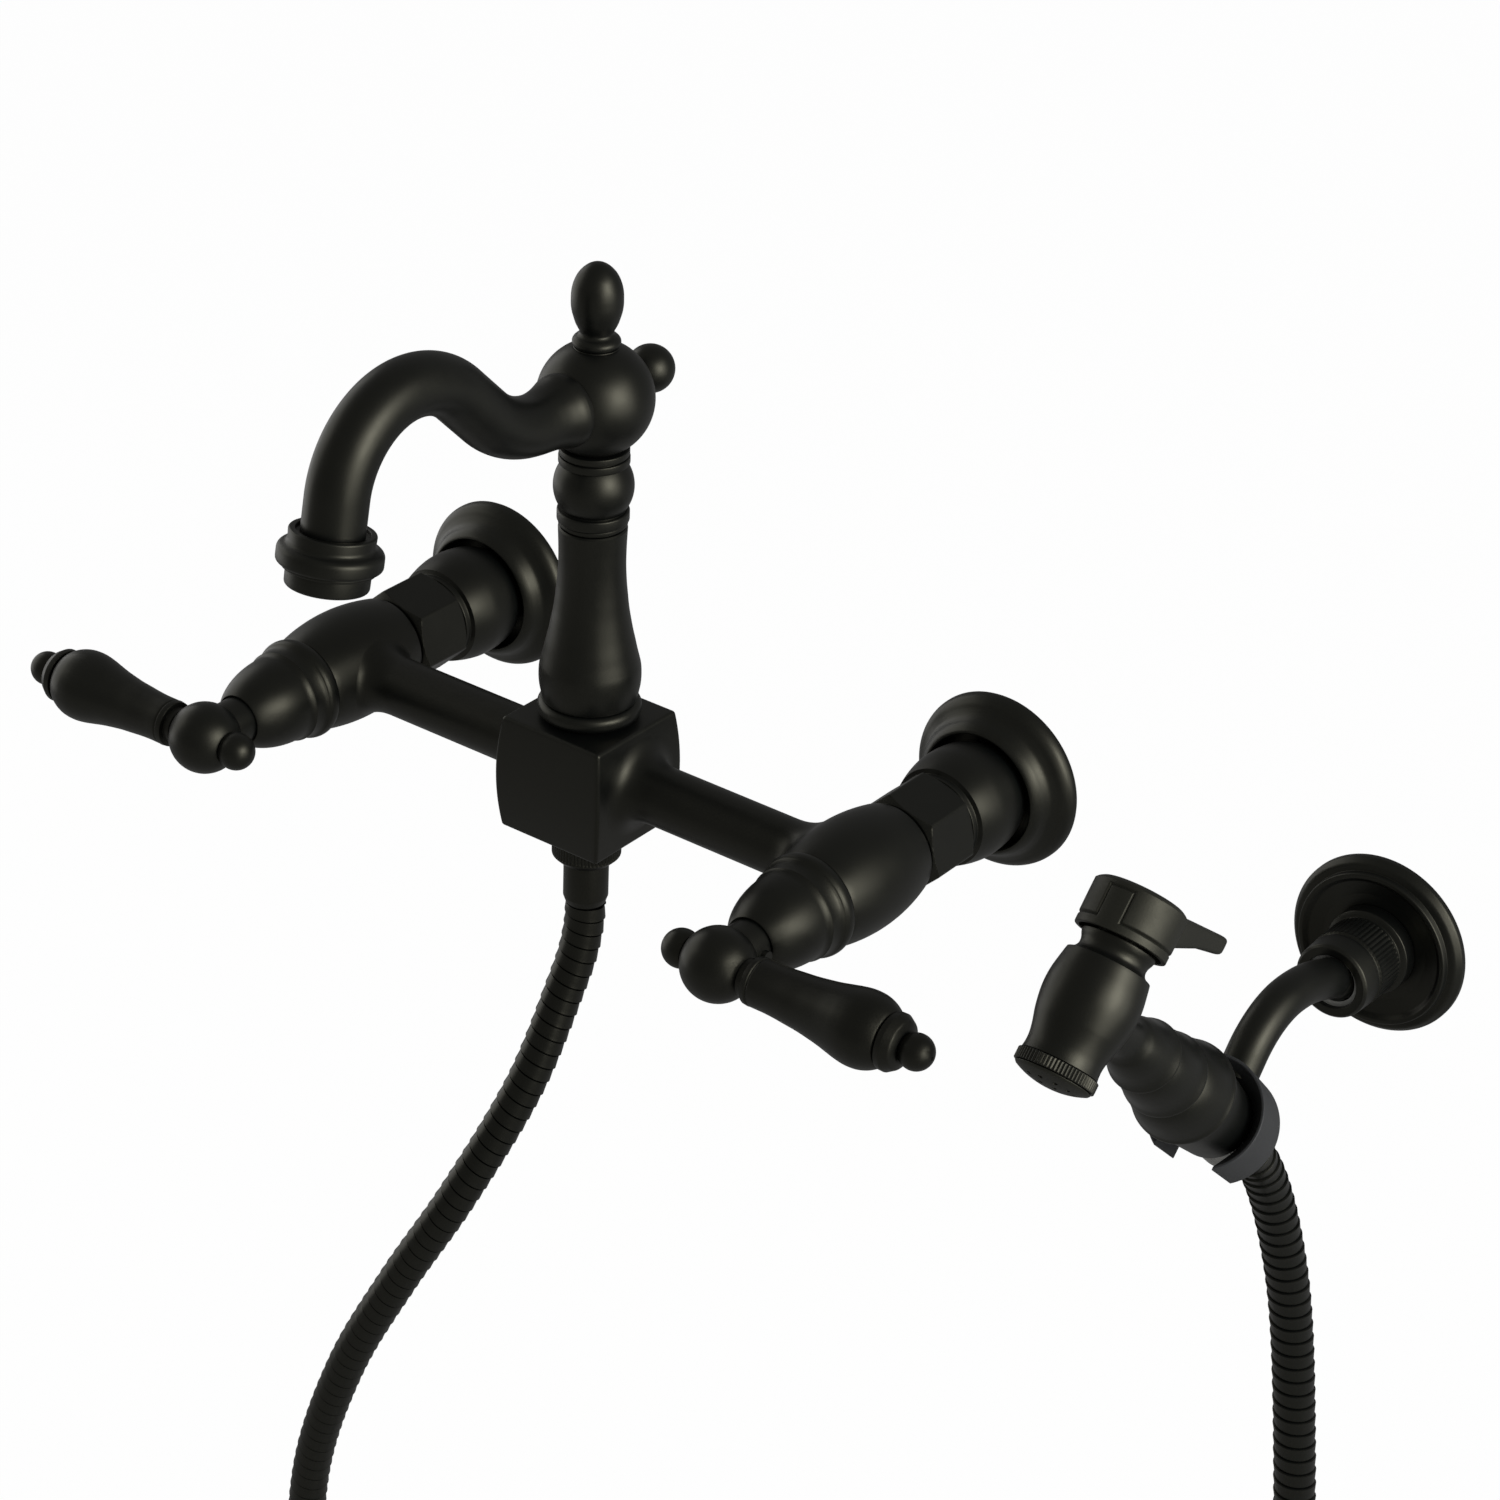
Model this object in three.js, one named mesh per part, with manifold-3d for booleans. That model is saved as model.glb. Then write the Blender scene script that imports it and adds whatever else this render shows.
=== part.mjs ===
// A wall-mounted bridge kitchen faucet: two valve barrels joined by a bridge, a turned column with a
// swivelling gooseneck spout, two quarter-turn levers, and a hand spray on a metal hose, parked in a
// cradle on its own wall plate.
//
// Millimetres. The wall is the plane y = 0, the room is at -y, +z is up, and the origin is on the wall
// midway between the two valve axes.

import * as THREE from "three";
import { mergeVertices, toCreasedNormals } from "three/addons/utils/BufferGeometryUtils.js";
import Module from "manifold-3d";

const wasm = await Module();
wasm.setup();

// ---------------------------------------------------------------- driving dimensions, in millimetres

const FIT = 0.3; // gap between two pieces that touch
const WALL = 1.8; // thickness of a pressed or cast shell

// Bridge
const VALVE_CENTRES = 203.2; // between the two inlet axes
const BRIDGE_REACH = 78.9; // from the wall to the axis of the spout
const BLOCK_WIDTH = 38.2; // square block under the column
const BLOCK_TOP = 18.5;
const BLOCK_BOTTOM = -20.3;
const BLOCK_BULGE = 1.4; // how far each face of the block is pillowed
const ARM_RADIUS = 9.6;
const ARM_FILLET = 8; // flare of an arm into what it joins
const ARM_BORE = 5.5;
const BARREL_LENGTH = 40;
const BARREL_END_RADIUS = 15.4;
const BARREL_MAX_RADIUS = 18.2;
const CARTRIDGE_RADIUS = 10.7;
const CARTRIDGE_DEPTH = 27; // how far the cartridge enters the barrel
const CARTRIDGE_HEAD = 7.1; // how far its body stands out of the barrel
const CARTRIDGE_NECK = 16.6; // how far its neck stands out
const CARTRIDGE_NECK_RADIUS = 7.6;
const STEM_SOCKET = 14.1; // from the cartridge's back to the bottom of the stem's socket
const INLET_BORE = 7.5;

// Inlet unions
const SPIGOT_RADIUS = 12.6; // threaded tail of a barrel
const SPIGOT_LENGTH = 11;
const NUT_FLATS = 29.4; // across the flats of the union nut
const NUT_LENGTH = 21;
const NUT_TURN = 13.6; // degrees that a corner leans from plumb
const NUT_SETBACK = 1.7; // dark groove between barrel and nut
const NUT_LIP = 5.6;
const WASHER_THICKNESS = 1.4;
const TAIL_RADIUS = 9.6; // tube of the wall coupling, inside the nut
const BELL_RADIUS = 18.3; // bulb of the wall coupling
const SHANK_RADIUS = 13;

// Wall flanges
const FLANGE_RADIUS = 29;
const FLANGE_HEIGHT = 13.2;
const FLANGE_MOUTH = 19.6; // radius of the flange's front hole

// Valve bonnets and handles
const BONNET_RADIUS = 14.3;
const BONNET_LENGTH = 30.1; // from the barrel to the bonnet's nose
const BEAD_RADIUS = 16.3;
const STEM_RADIUS = 3.3;
const HANDLE_STAND = 15; // from the bonnet's nose to the centre of the handle ball
const HANDLE_BALL = 11.1;
const HANDLE_COLLAR = 7.7;
const HANDLE_SEAT = 10.2; // flats on the ball, for the lever and the counter ball
const LEVER_LENGTH = 60.5; // from the ball centre to the end of the grip
const LEVER_MAX_RADIUS = 11.55;
const LEVER_MIN_RADIUS = 7.45;
const TIP_BALL = 5.5;
const COUNTER_BALL = 5.6;
const SCREW_RADIUS = 2.2; // studs that hold the small balls, finial and knob
const SET_SCREW_RADIUS = 1.9;
const SET_SCREW_STAND = 3.2; // from the bonnet's nose

// Column and spout
const BASE_RING_RADIUS = 16;
const BASE_RING_HEIGHT = 5;
const COLUMN_BELLY = 15.85;
const COLUMN_NECK = 10.2;
const SPIGOT_IN_BLOCK = 8.8; // radius of the column's tail in the block
const SPIGOT_DEPTH = 12.5; // how far that tail enters the block
const SEAL_SECTION = 1.3; // thickness of the seal around that tail
const WATERWAY = 5.4;
const CHAMBER_DEPTH = 8; // mixing chamber below the valve axes
const DIVERTER_RADIUS = 4.6;
const DIVERTER_BORE = 2.6;
const KNUCKLE_HEIGHT = 26.6;
const KNUCKLE_BALL = 12.3;
const KNUCKLE_RING = 10.8;
const HUB_HEIGHT = 125.1;
const HUB_RADIUS = 17.6;
const HUB_SEAT_RADIUS = 8.3; // flat under the hub
const FINIAL_FOOT = 6.2; // radius of the finial's flat on the hub
const FINIAL_RADIUS = 7.8;
const FINIAL_HEIGHT = 26.5;
const KNOB_RADIUS = 7.3;
const KNOB_REACH = 26.1; // from the spout axis to the knob's centre
const TUBE_RADIUS = 9.2;
const TUBE_WALL = 1.4;
const TUBE_RISE = 1; // the tube's axis above the hub's centre
const TUBE_RUN = 25; // level stretch from the spout axis
const TUBE_LOW_BEND = 37.2;
const TUBE_CLIMB = 43.8; // degrees
const TUBE_SLOPE = 15.7; // straight between the bends
const TUBE_HIGH_BEND = 32.2;
const TUBE_DROP_BEND = 28.9;
const OUTLET_TILT = 10.6; // degrees from plumb
const TUBE_TAIL = 17.5; // straight before the outlet
const TUBE_SOCKET = 12; // how far the tube starts from the spout axis
const FLARE_START = 12.6; // the tube's flared foot, from the spout axis
const FLARE_RADIUS = 10.9;
const COLLAR_RADIUS = 12.8;
const COLLAR_LENGTH = 8.5;
const COLLAR_BEAD = 14.9;
const AERATOR_RADIUS = 12.1;
const AERATOR_LENGTH = 6.4;

// Hose connection under the block
const HOSE_DIAMETER = 13.2;
const HOSE_LENGTH = 1200;
const HOSE_NUT_RADIUS = 11;
const HOSE_NUT_LENGTH = 15;
const HOSE_WASHER = 1.5; // thickness
const NUT_FLOOR = 3;
const FERRULE_RADIUS = 7.2;
const FERRULE_LENGTH = 12.5;
const FERRULE_NECK = 5.8; // where the ferrule passes through its nut
const HOSE_BORE = 3.4;
const NIPPLE_RADIUS = 7;
const NIPPLE_LENGTH = 9;

// Spray holder
const HOLDER_OFFSET = 237.8; // from the middle of the bridge, along the wall
const HOLDER_DROP = 4.9; // below the valve axes
const PLATE_RADIUS = 28.2;
const PLATE_STEP_RADIUS = 24.4;
const PLATE_HEIGHT = 6.2;
const HOLDER_COLLAR_RADIUS = 12.2;
const HOLDER_COLLAR_FRONT = 29.4;
const HOLDER_MOUTH = 8.4;
const HOLDER_BALL = 7.2;
const HOLDER_BALL_REACH = 25; // from the wall to the centre of the arm's ball
const BUSH_RADIUS = 9.2;
const ARM_TUBE_RADIUS = 6;
const ARM_START = 14; // straight out of the ball
const ARM_RISE = 20; // degrees above level there
const ARM_CREST_BEND = 50;
const ARM_DROP_BEND = 27;
const ARM_DROP = 50; // degrees below level, into the clip
const ARM_END = 16; // straight into the clip
const CRADLE_TILT = 45; // degrees, of the parked spray's handle
const CLIP_OUTER = 17.3;
const CLIP_LEAD = 8; // how far the clip's front edge lies before the end of the spray's tail cone
const CLIP_LENGTH = 16.8;
const CLIP_TAPER = 0.5; // how much smaller the clip is at its rear edge
const CLIP_SLOT = 19; // width of the slot that lets the hose and its nut in

// Hand spray, in its own frame: the spray axis is z (cap up), the handle runs along +y
const SPRAY_AXIS_Y = -165.9;
const SPRAY_AXIS_Z = 54.3;
const BARREL_SPRAY_RADIUS = 13.35;
const SPRAY_NECK_RADIUS = 8.7;
const SPRAY_GUIDE_RADIUS = 6.6; // of the stem's guide inside the cap
const SPRAY_CAP_RADIUS = 13.2;
const SPRAY_CAP_SKIRT = 18.2;
const SPRAY_CAP_TOP = 33.3;
const SPRAY_RING_TOP = -17.5;
const SPRAY_RING_BOTTOM = -20.8;
const SPRAY_FACE_BOTTOM = -24;
const SPRAY_RING_RADIUS = 11.5;
const FACE_THREAD = 9.1;
const SPRAY_NUT_RADIUS = 10.3;
const SPRAY_NUT_LENGTH = 16;
const TAIL_SPIGOT = 6; // radius of the handle's end inside the nut
const TAIL_SPIGOT_LENGTH = 7;
const BELLS = [
  { from: 27, neck: 5.7, to: 44.6, mouth: 10.2 },
  { from: 45, neck: 9.3, to: 62, mouth: 11.95 },
  { from: 62.4, neck: 11, to: 78.6, mouth: 15 },
]; // the handle's three bells: places along it, and the radii there
const HANDLE_TAIL_END = 106;
const TAIL_CONE_START = 79.3;
const TAIL_CONE_RADIUS = 14.2;
const TAIL_CONE_END_RADIUS = 11.6;
const PADDLE_LENGTH = 42.5;
const PADDLE_WIDTH = 15;
const PADDLE_RISE = 5.1; // of its tip above the cap
const PADDLE_TIP = 4.5; // thickness of the tip
const STEM_BORE = 2.4;
const SPRING_POCKET = 4.4; // radius
const POCKET_DEPTH = 7;
const COILS = 4;
const COIL_RADIUS = 3.35;
const WIRE_RADIUS = 0.42;
const STEM_HEAD = 3.9; // radius
const STEM_HEAD_LIFT = 1.4; // above the guide
const STEM_TRAVEL = 1.9;
const HANDLE_SPIGOT = 4.2;
const HANDLE_BORE = 2.6;
const HANDLE_NECK = 5.4;
const NECK_FACE = 12.2;
const PIVOT_Y = -8; // hinge of the thumb lever, opposite the handle
const PIVOT_Z = 22.6;
const PIN_RADIUS = 1.1;
const LUG_RADIUS = 2.2;
const LUG_WIDTH = 6.4;
const EAR_WIDTH = 2.8;
const NOZZLES = [[5, 3.4], [10, 6.8]]; // holes in each circle, and the circle's radius
const NOZZLE_RADIUS = 0.7;

// Knurling, as coarse flutes
const KNURL_PITCH = 4.2;
const KNURL_DEPTH = 0.45;

// Fineness of the facets: one count for all turned pieces, so that mating facets line up
const SIDES = 12;
const ROD_SIDES = 10; // screws, pins and small rods

// ---------------------------------------------------------------- finishes

const finish = (name, color, roughness, metalness) =>
  Object.assign(new THREE.MeshStandardMaterial({ color, roughness, metalness }), { name });

const BLACK = finish("matte black over brass", 0x1d1f1e, 0.42, 0.35);
const BRASS = finish("machined brass", 0xb08d4a, 0.35, 1);
const STEEL = finish("stainless steel", 0xb9bcbc, 0.3, 1);
const PLASTIC = finish("black moulded plastic", 0x252726, 0.6, 0);
const RUBBER = finish("black rubber", 0x141414, 0.85, 0);
const HOSE_METAL = finish("black interlocked metal hose", 0x202221, 0.4, 0.5);

// ---------------------------------------------------------------- geometry helpers

const radians = THREE.MathUtils.degToRad;

/** Six times the signed volume that the triangles enclose. */
function signedVolume(positions, triangles) {
  const corner = (k) => new THREE.Vector3().fromArray(positions, 3 * triangles[k]);
  let sum = 0;
  for (let k = 0; k < triangles.length; k += 3) sum += corner(k).dot(corner(k + 1).cross(corner(k + 2)));
  return sum;
}

/** A closed three.js geometry as a solid that can be cut and joined. */
function solid(geometry) {
  const bare = geometry.clone();
  bare.deleteAttribute("normal");
  bare.deleteAttribute("uv");
  const merged = mergeVertices(bare, 1e-4);
  const source = merged.index.array;
  const kept = [];
  for (let k = 0; k < source.length; k += 3) {
    const [a, b, c] = [source[k], source[k + 1], source[k + 2]];
    if (a !== b && b !== c && c !== a) kept.push(a, b, c);
  }
  const positions = merged.attributes.position.array;
  if (signedVolume(positions, kept) < 0) kept.reverse();
  const vertProperties = new Float32Array(positions);
  const triVerts = new Uint32Array(kept);
  return new wasm.Manifold(new wasm.Mesh({ numProp: 3, vertProperties, triVerts }));
}

/** A solid's surface as a three.js geometry. */
function surface(body) {
  const source = body.getMesh();
  const geometry = new THREE.BufferGeometry();
  geometry.setAttribute("position", new THREE.BufferAttribute(source.vertProperties, 3));
  geometry.setIndex(new THREE.BufferAttribute(source.triVerts, 1));
  return toCreasedNormals(geometry, radians(40));
}

/** A named mesh of one piece. */
function piece(name, body, material) {
  const mesh = new THREE.Mesh(surface(body), material);
  mesh.name = name;
  return mesh;
}

const AXES = {
  x: (geometry) => geometry.rotateZ(-Math.PI / 2),
  y: (geometry) => geometry,
  z: (geometry) => geometry.rotateX(Math.PI / 2),
};

/** A turned solid. The profile is a closed loop of [distance along the axis, radius]. */
function turned(axis, profile, segments = SIDES) {
  const loop = profile.map(([along, radius]) => new THREE.Vector2(Math.max(radius, 0), along));
  const onAxis = loop[0].x === 0 && loop[loop.length - 1].x === 0;
  if (!onAxis) loop.push(loop[0].clone());
  return solid(AXES[axis](new THREE.LatheGeometry(loop, segments)));
}

/** A plain cylinder between two places on an axis. */
const rod = (axis, from, to, radius, segments = SIDES) =>
  turned(axis, [[from, 0], [from, radius], [to, radius], [to, 0]], segments);

/** A hollow cylinder. */
const sleeve = (axis, from, to, outer, inner, segments = SIDES) =>
  turned(axis, [[from, inner], [from, outer], [to, outer], [to, inner]], segments);

/** Points [along, radius] on an arc about a centre on the profile plane, angles in degrees. */
function arc(centreAlong, centreRadius, size, from, to, count) {
  const points = [];
  for (let k = 0; k <= count; k += 1) {
    const angle = radians(from + ((to - from) * k) / count);
    points.push([centreAlong - size * Math.cos(angle), centreRadius + size * Math.sin(angle)]);
  }
  return points;
}

/** Profile points of a ball between two places along its axis. */
function ballArc(centre, size, from, to, count) {
  const cosine = (along) => THREE.MathUtils.clamp((centre - along) / size, -1, 1);
  const angle = (along) => THREE.MathUtils.radToDeg(Math.acos(cosine(along)));
  return arc(centre, 0, size, angle(from), angle(to), count);
}

/** Where a ball of this size is cut to leave a flat of this radius: the distance from its centre. */
const chord = (size, radius) => Math.sqrt(size * size - radius * radius);

/** A tube along a curve: a round section, hollow if an inner radius is given. */
function piped(curve, steps, outer, sides, inner = 0) {
  const ring = (radius) => {
    const points = [];
    for (let k = 0; k < sides; k += 1) {
      const angle = (2 * Math.PI * k) / sides;
      points.push(new THREE.Vector2(radius * Math.cos(angle), radius * Math.sin(angle)));
    }
    return points;
  };
  const section = new THREE.Shape(ring(outer));
  if (inner > 0) section.holes.push(new THREE.Path(ring(inner).reverse()));
  return solid(new THREE.ExtrudeGeometry(section, { steps, extrudePath: curve, bevelEnabled: false }));
}

/** An arc in a plane: centre, size, the direction of angle 0 and of angle 90 degrees, and two angles. */
class ArcPath extends THREE.Curve {
  constructor(centre, size, across, up, from, to) {
    super();
    Object.assign(this, { centre, size, across, up, from, to });
  }

  getPoint(t, target = new THREE.Vector3()) {
    const angle = this.from + (this.to - this.from) * t;
    return target
      .copy(this.centre)
      .addScaledVector(this.across, this.size * Math.cos(angle))
      .addScaledVector(this.up, this.size * Math.sin(angle));
  }
}

/**
 * A path in a plane from straights and bends. Each step is { straight } or { bend, turn }: a length, or a
 * bend's size and its turn in degrees, upwards positive.
 */
function route(start, forward, up, climb, steps) {
  const path = new THREE.CurvePath();
  let here = start.clone();
  let angle = radians(climb);
  const direction = (a) => forward.clone().multiplyScalar(Math.cos(a)).addScaledVector(up, Math.sin(a));
  for (const step of steps) {
    if (step.straight) {
      const next = here.clone().addScaledVector(direction(angle), step.straight);
      path.add(new THREE.LineCurve3(here, next));
      here = next;
    } else {
      const side = Math.sign(step.turn);
      const centre = here.clone().addScaledVector(direction(angle + (side * Math.PI) / 2), step.bend);
      const end = angle + radians(step.turn);
      const quarter = (side * Math.PI) / 2;
      path.add(new ArcPath(centre, step.bend, forward, up, angle - quarter, end - quarter));
      here = path.curves[path.curves.length - 1].getPoint(1);
      angle = end;
    }
  }
  return { path, end: here, angle };
}

const put = (body, x, y, z) => body.translate([x, y, z]);

const UP = new THREE.Vector3(0, 0, 1);
const OUT = new THREE.Vector3(0, -1, 0); // from the wall into the room

// ---------------------------------------------------------------- the bridge

const BARREL_FRONT = BRIDGE_REACH + BARREL_LENGTH / 2;
const BARREL_REAR = BRIDGE_REACH - BARREL_LENGTH / 2;
const HALF_SPREAD = VALVE_CENTRES / 2;
const CARTRIDGE_BACK = BARREL_FRONT - CARTRIDGE_DEPTH;
const SPIGOT_END = BARREL_REAR - SPIGOT_LENGTH;
const SEAT_TOP = BLOCK_TOP + BLOCK_BULGE / 2; // flat spot under the base ring
const SEAT_BOTTOM = BLOCK_BOTTOM - BLOCK_BULGE / 2; // flat spot over the hose nut
const NIPPLE_BORE = DIVERTER_RADIUS + FIT;
const NIPPLE_END = SEAT_BOTTOM - NIPPLE_LENGTH;

/** The square block with pillowed faces: each face stands out by a product of two parabolas. */
function pillowBlock() {
  const half = [BLOCK_WIDTH / 2, BLOCK_WIDTH / 2, (BLOCK_TOP - BLOCK_BOTTOM) / 2];
  const box = new THREE.BoxGeometry(2 * half[0], 2 * half[1], 2 * half[2], 4, 4, 4);
  const places = box.attributes.position;
  for (let k = 0; k < places.count; k += 1) {
    const share = [places.getX(k) / half[0], places.getY(k) / half[1], places.getZ(k) / half[2]];
    const stand = (u, v, w) => u * BLOCK_BULGE * (1 - v * v) * (1 - w * w);
    places.setXYZ(
      k,
      places.getX(k) + stand(share[0], share[1], share[2]),
      places.getY(k) + stand(share[1], share[0], share[2]),
      places.getZ(k) + stand(share[2], share[0], share[1]),
    );
  }
  return put(solid(box), 0, -BRIDGE_REACH, (BLOCK_TOP + BLOCK_BOTTOM) / 2);
}

/** Profile points of a concave flare, from where an arm meets a face outwards along the arm. */
function flare(meet, side, reach, rise) {
  const points = [];
  for (let k = 0; k <= 3; k += 1) {
    const share = 1 - k / 3;
    points.push([meet + (side * reach * k) / 3, ARM_RADIUS + rise * share * share]);
  }
  return points;
}

/** The round arm through the block and both barrels, flared where it meets them. */
function bridgeArm() {
  const blockFlare = flare(BLOCK_WIDTH / 2 + BLOCK_BULGE / 2, 1, ARM_FILLET, 0.6 * ARM_FILLET);
  const buried = chord(BARREL_MAX_RADIUS, ARM_RADIUS + 0.4 * ARM_FILLET) - 0.5;
  const barrelReach = BARREL_MAX_RADIUS - buried + 0.7 * ARM_FILLET;
  const barrelFlare = flare(HALF_SPREAD - buried, -1, barrelReach, 0.4 * ARM_FILLET);
  const right = [...blockFlare, ...barrelFlare.reverse()];
  const left = right.map(([along, radius]) => [-along, radius]).reverse();
  const profile = [[-HALF_SPREAD, 0], [-HALF_SPREAD, ARM_RADIUS], ...left, ...right];
  profile.push([HALF_SPREAD, ARM_RADIUS], [HALF_SPREAD, 0]);
  return put(turned("x", profile), 0, -BRIDGE_REACH, 0);
}

/** A barrel's outside: a parabola in length, widest at the arm, with the threaded tail behind it. */
function barrelBody(x) {
  const half = BARREL_LENGTH / 2;
  const swell = [];
  for (let k = 0; k <= 6; k += 1) {
    const share = -1 + k / 3;
    const radius = BARREL_MAX_RADIUS - (BARREL_MAX_RADIUS - BARREL_END_RADIUS) * share * share;
    swell.push([-BRIDGE_REACH + half * share, radius]);
  }
  const tail = [[-BARREL_REAR, SPIGOT_RADIUS], [-SPIGOT_END, SPIGOT_RADIUS], [-SPIGOT_END, 0]];
  return put(turned("y", [[-BARREL_FRONT, 0], ...swell, ...tail]), x, 0, 0);
}

/** The bridge in one casting: block, arm and barrels, with the waterways, seats and nipple. */
function bridgeBody() {
  let body = pillowBlock().add(bridgeArm());
  const across = rod("x", -HALF_SPREAD, HALF_SPREAD, ARM_BORE);
  for (const x of [-HALF_SPREAD, HALF_SPREAD]) body = body.add(barrelBody(x));
  body = body.subtract(put(across, 0, -BRIDGE_REACH, 0));
  for (const x of [-HALF_SPREAD, HALF_SPREAD]) {
    const chamber = rod("y", -BARREL_FRONT - 1, -CARTRIDGE_BACK, CARTRIDGE_RADIUS + FIT);
    const inlet = rod("y", -CARTRIDGE_BACK - 1, -SPIGOT_END + 1, INLET_BORE);
    body = body.subtract(put(chamber, x, 0, 0)).subtract(put(inlet, x, 0, 0));
  }
  const socket = rod("z", -CHAMBER_DEPTH, BLOCK_TOP + BLOCK_BULGE + 1, SPIGOT_IN_BLOCK + FIT);
  const seat = rod("z", SEAT_TOP, BLOCK_TOP + BLOCK_BULGE + 1, BASE_RING_RADIUS + 1);
  const port = rod("z", BLOCK_BOTTOM - BLOCK_BULGE - 1, 1 - CHAMBER_DEPTH, NIPPLE_BORE);
  const foot = rod("z", BLOCK_BOTTOM - BLOCK_BULGE - 1, SEAT_BOTTOM, HOSE_NUT_RADIUS + 1.5);
  for (const cut of [socket, seat, port, foot]) body = body.subtract(put(cut, 0, -BRIDGE_REACH, 0));
  return body.add(put(hoseNipple(), 0, -BRIDGE_REACH, 0));
}

/** The threaded nipple under the block that the hose nut is screwed on. */
const hoseNipple = () => sleeve("z", NIPPLE_END, SEAT_BOTTOM + 3, NIPPLE_RADIUS, NIPPLE_BORE);

/** The diverter in the block: a flanged cage on the floor of the mixing chamber, over the hose port. */
function diverter() {
  return turned("z", [
    [SEAT_BOTTOM + 1, DIVERTER_BORE],
    [SEAT_BOTTOM + 1, DIVERTER_RADIUS],
    [FIT - CHAMBER_DEPTH, DIVERTER_RADIUS],
    [FIT - CHAMBER_DEPTH, SPIGOT_IN_BLOCK - 1],
    [FIT - CHAMBER_DEPTH + 1.6, SPIGOT_IN_BLOCK - 1],
    [FIT - CHAMBER_DEPTH + 1.6, WATERWAY - 1],
    [0, WATERWAY - 1],
    [0, DIVERTER_BORE],
  ]);
}

// ---------------------------------------------------------------- the inlets, from the barrel to the wall

const NUT_FRONT = BARREL_REAR - NUT_SETBACK;
const NUT_REAR = NUT_FRONT - NUT_LENGTH;
const WASHER_FRONT = SPIGOT_END - FIT;
const TAIL_FRONT = WASHER_FRONT - WASHER_THICKNESS - FIT;
const LIP_FRONT = NUT_REAR + NUT_LIP;

/** A hexagonal nut with chamfered corners, captive on the coupling's tube. */
function unionNut() {
  const corner = NUT_FLATS / 2 / Math.cos(Math.PI / 6);
  const prism = new THREE.CylinderGeometry(corner, corner, NUT_LENGTH, 6).rotateY(-radians(NUT_TURN));
  const hex = put(solid(prism), 0, -(NUT_FRONT + NUT_REAR) / 2, 0);
  const round = [
    [-NUT_FRONT, 0],
    [-NUT_FRONT, NUT_FLATS / 2 - 0.2],
    [-NUT_FRONT + 1.6, corner],
    [-NUT_REAR - 1.6, corner],
    [-NUT_REAR, NUT_FLATS / 2 - 0.2],
    [-NUT_REAR, 0],
  ];
  const thread = rod("y", -NUT_FRONT - 1, -LIP_FRONT, SPIGOT_RADIUS + FIT);
  const hole = rod("y", -LIP_FRONT - 1, -NUT_REAR + 1, TAIL_RADIUS + FIT);
  return hex.intersect(turned("y", round)).subtract(thread).subtract(hole);
}

/** The flat washer that the nut presses against the barrel's tail. */
function unionWasher() {
  return sleeve("y", -WASHER_FRONT, WASHER_THICKNESS - WASHER_FRONT, SPIGOT_RADIUS - FIT, INLET_BORE);
}

/** The coupling from the nut into the wall: trapped lip, tube, step, bulb and shank, bored through. */
function wallCoupling() {
  const bulbBack = 9.8;
  const bulbFront = NUT_REAR - 2.1;
  const middle = (bulbFront + bulbBack) / 2;
  const half = (bulbFront - bulbBack) / 2;
  const bulb = [];
  for (let k = 0; k <= 6; k += 1) {
    const share = -1 + k / 3;
    bulb.push([-middle + half * share, BELL_RADIUS - 2.5 * share * share]);
  }
  const profile = [
    [-TAIL_FRONT, INLET_BORE],
    [-TAIL_FRONT, SPIGOT_RADIUS - FIT],
    [-LIP_FRONT - FIT, SPIGOT_RADIUS - FIT],
    [-LIP_FRONT - FIT, TAIL_RADIUS],
    [-NUT_REAR + FIT, TAIL_RADIUS],
    [-NUT_REAR + FIT, NUT_FLATS / 2],
    [-bulbFront, NUT_FLATS / 2],
    ...bulb,
    [-6.5, SHANK_RADIUS],
    [0, SHANK_RADIUS],
    [0, INLET_BORE],
  ];
  return turned("y", profile);
}

/** The wall flange: a web on the shank and an ogee dish with a rolled mouth. */
function wallFlange() {
  const drop = FLANGE_RADIUS - FLANGE_MOUTH;
  const outer = [
    [0, FLANGE_RADIUS],
    [-1.6, FLANGE_RADIUS],
    [-3.6, FLANGE_RADIUS - 0.07 * drop],
    [-5.4, FLANGE_RADIUS - 0.2 * drop],
    [-6.6, FLANGE_RADIUS - 0.38 * drop],
    [-8, FLANGE_RADIUS - 0.56 * drop],
    [-10, FLANGE_RADIUS - 0.7 * drop],
    [-12.2, FLANGE_RADIUS - 0.82 * drop],
    [-FLANGE_HEIGHT, FLANGE_RADIUS - 0.93 * drop],
    [-FLANGE_HEIGHT, FLANGE_MOUTH],
  ];
  const inner = [
    [-FLANGE_HEIGHT + 1, FLANGE_MOUTH - 0.2],
    [-9.6, FLANGE_MOUTH + 0.4],
    [-6.4, FLANGE_MOUTH + 2],
    [-3, FLANGE_MOUTH + 3.4],
    [-3, SHANK_RADIUS + FIT],
    [0, SHANK_RADIUS + FIT],
  ];
  return turned("y", [...outer, ...inner]);
}

// ---------------------------------------------------------------- valves

const BONNET_REAR = BARREL_FRONT + FIT;
const BONNET_NOSE = BARREL_FRONT + BONNET_LENGTH;
const HANDLE_REACH = BONNET_NOSE + HANDLE_STAND;
const COLLAR_REAR = BONNET_NOSE - 1.2; // the handle collar dips into the bonnet's front
const SET_SCREW_REACH = BONNET_NOSE + SET_SCREW_STAND;
const CARTRIDGE_SHOULDER = BARREL_FRONT + CARTRIDGE_HEAD;
const NECK_END = BARREL_FRONT + CARTRIDGE_NECK;
const STEM_REAR = CARTRIDGE_BACK + STEM_SOCKET;
const DOME_START = BARREL_FRONT + 11.1;
const DOME_SEMI_AXIS = (BONNET_NOSE - DOME_START) / 0.81; // the ellipse is cut off by the nose

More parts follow.
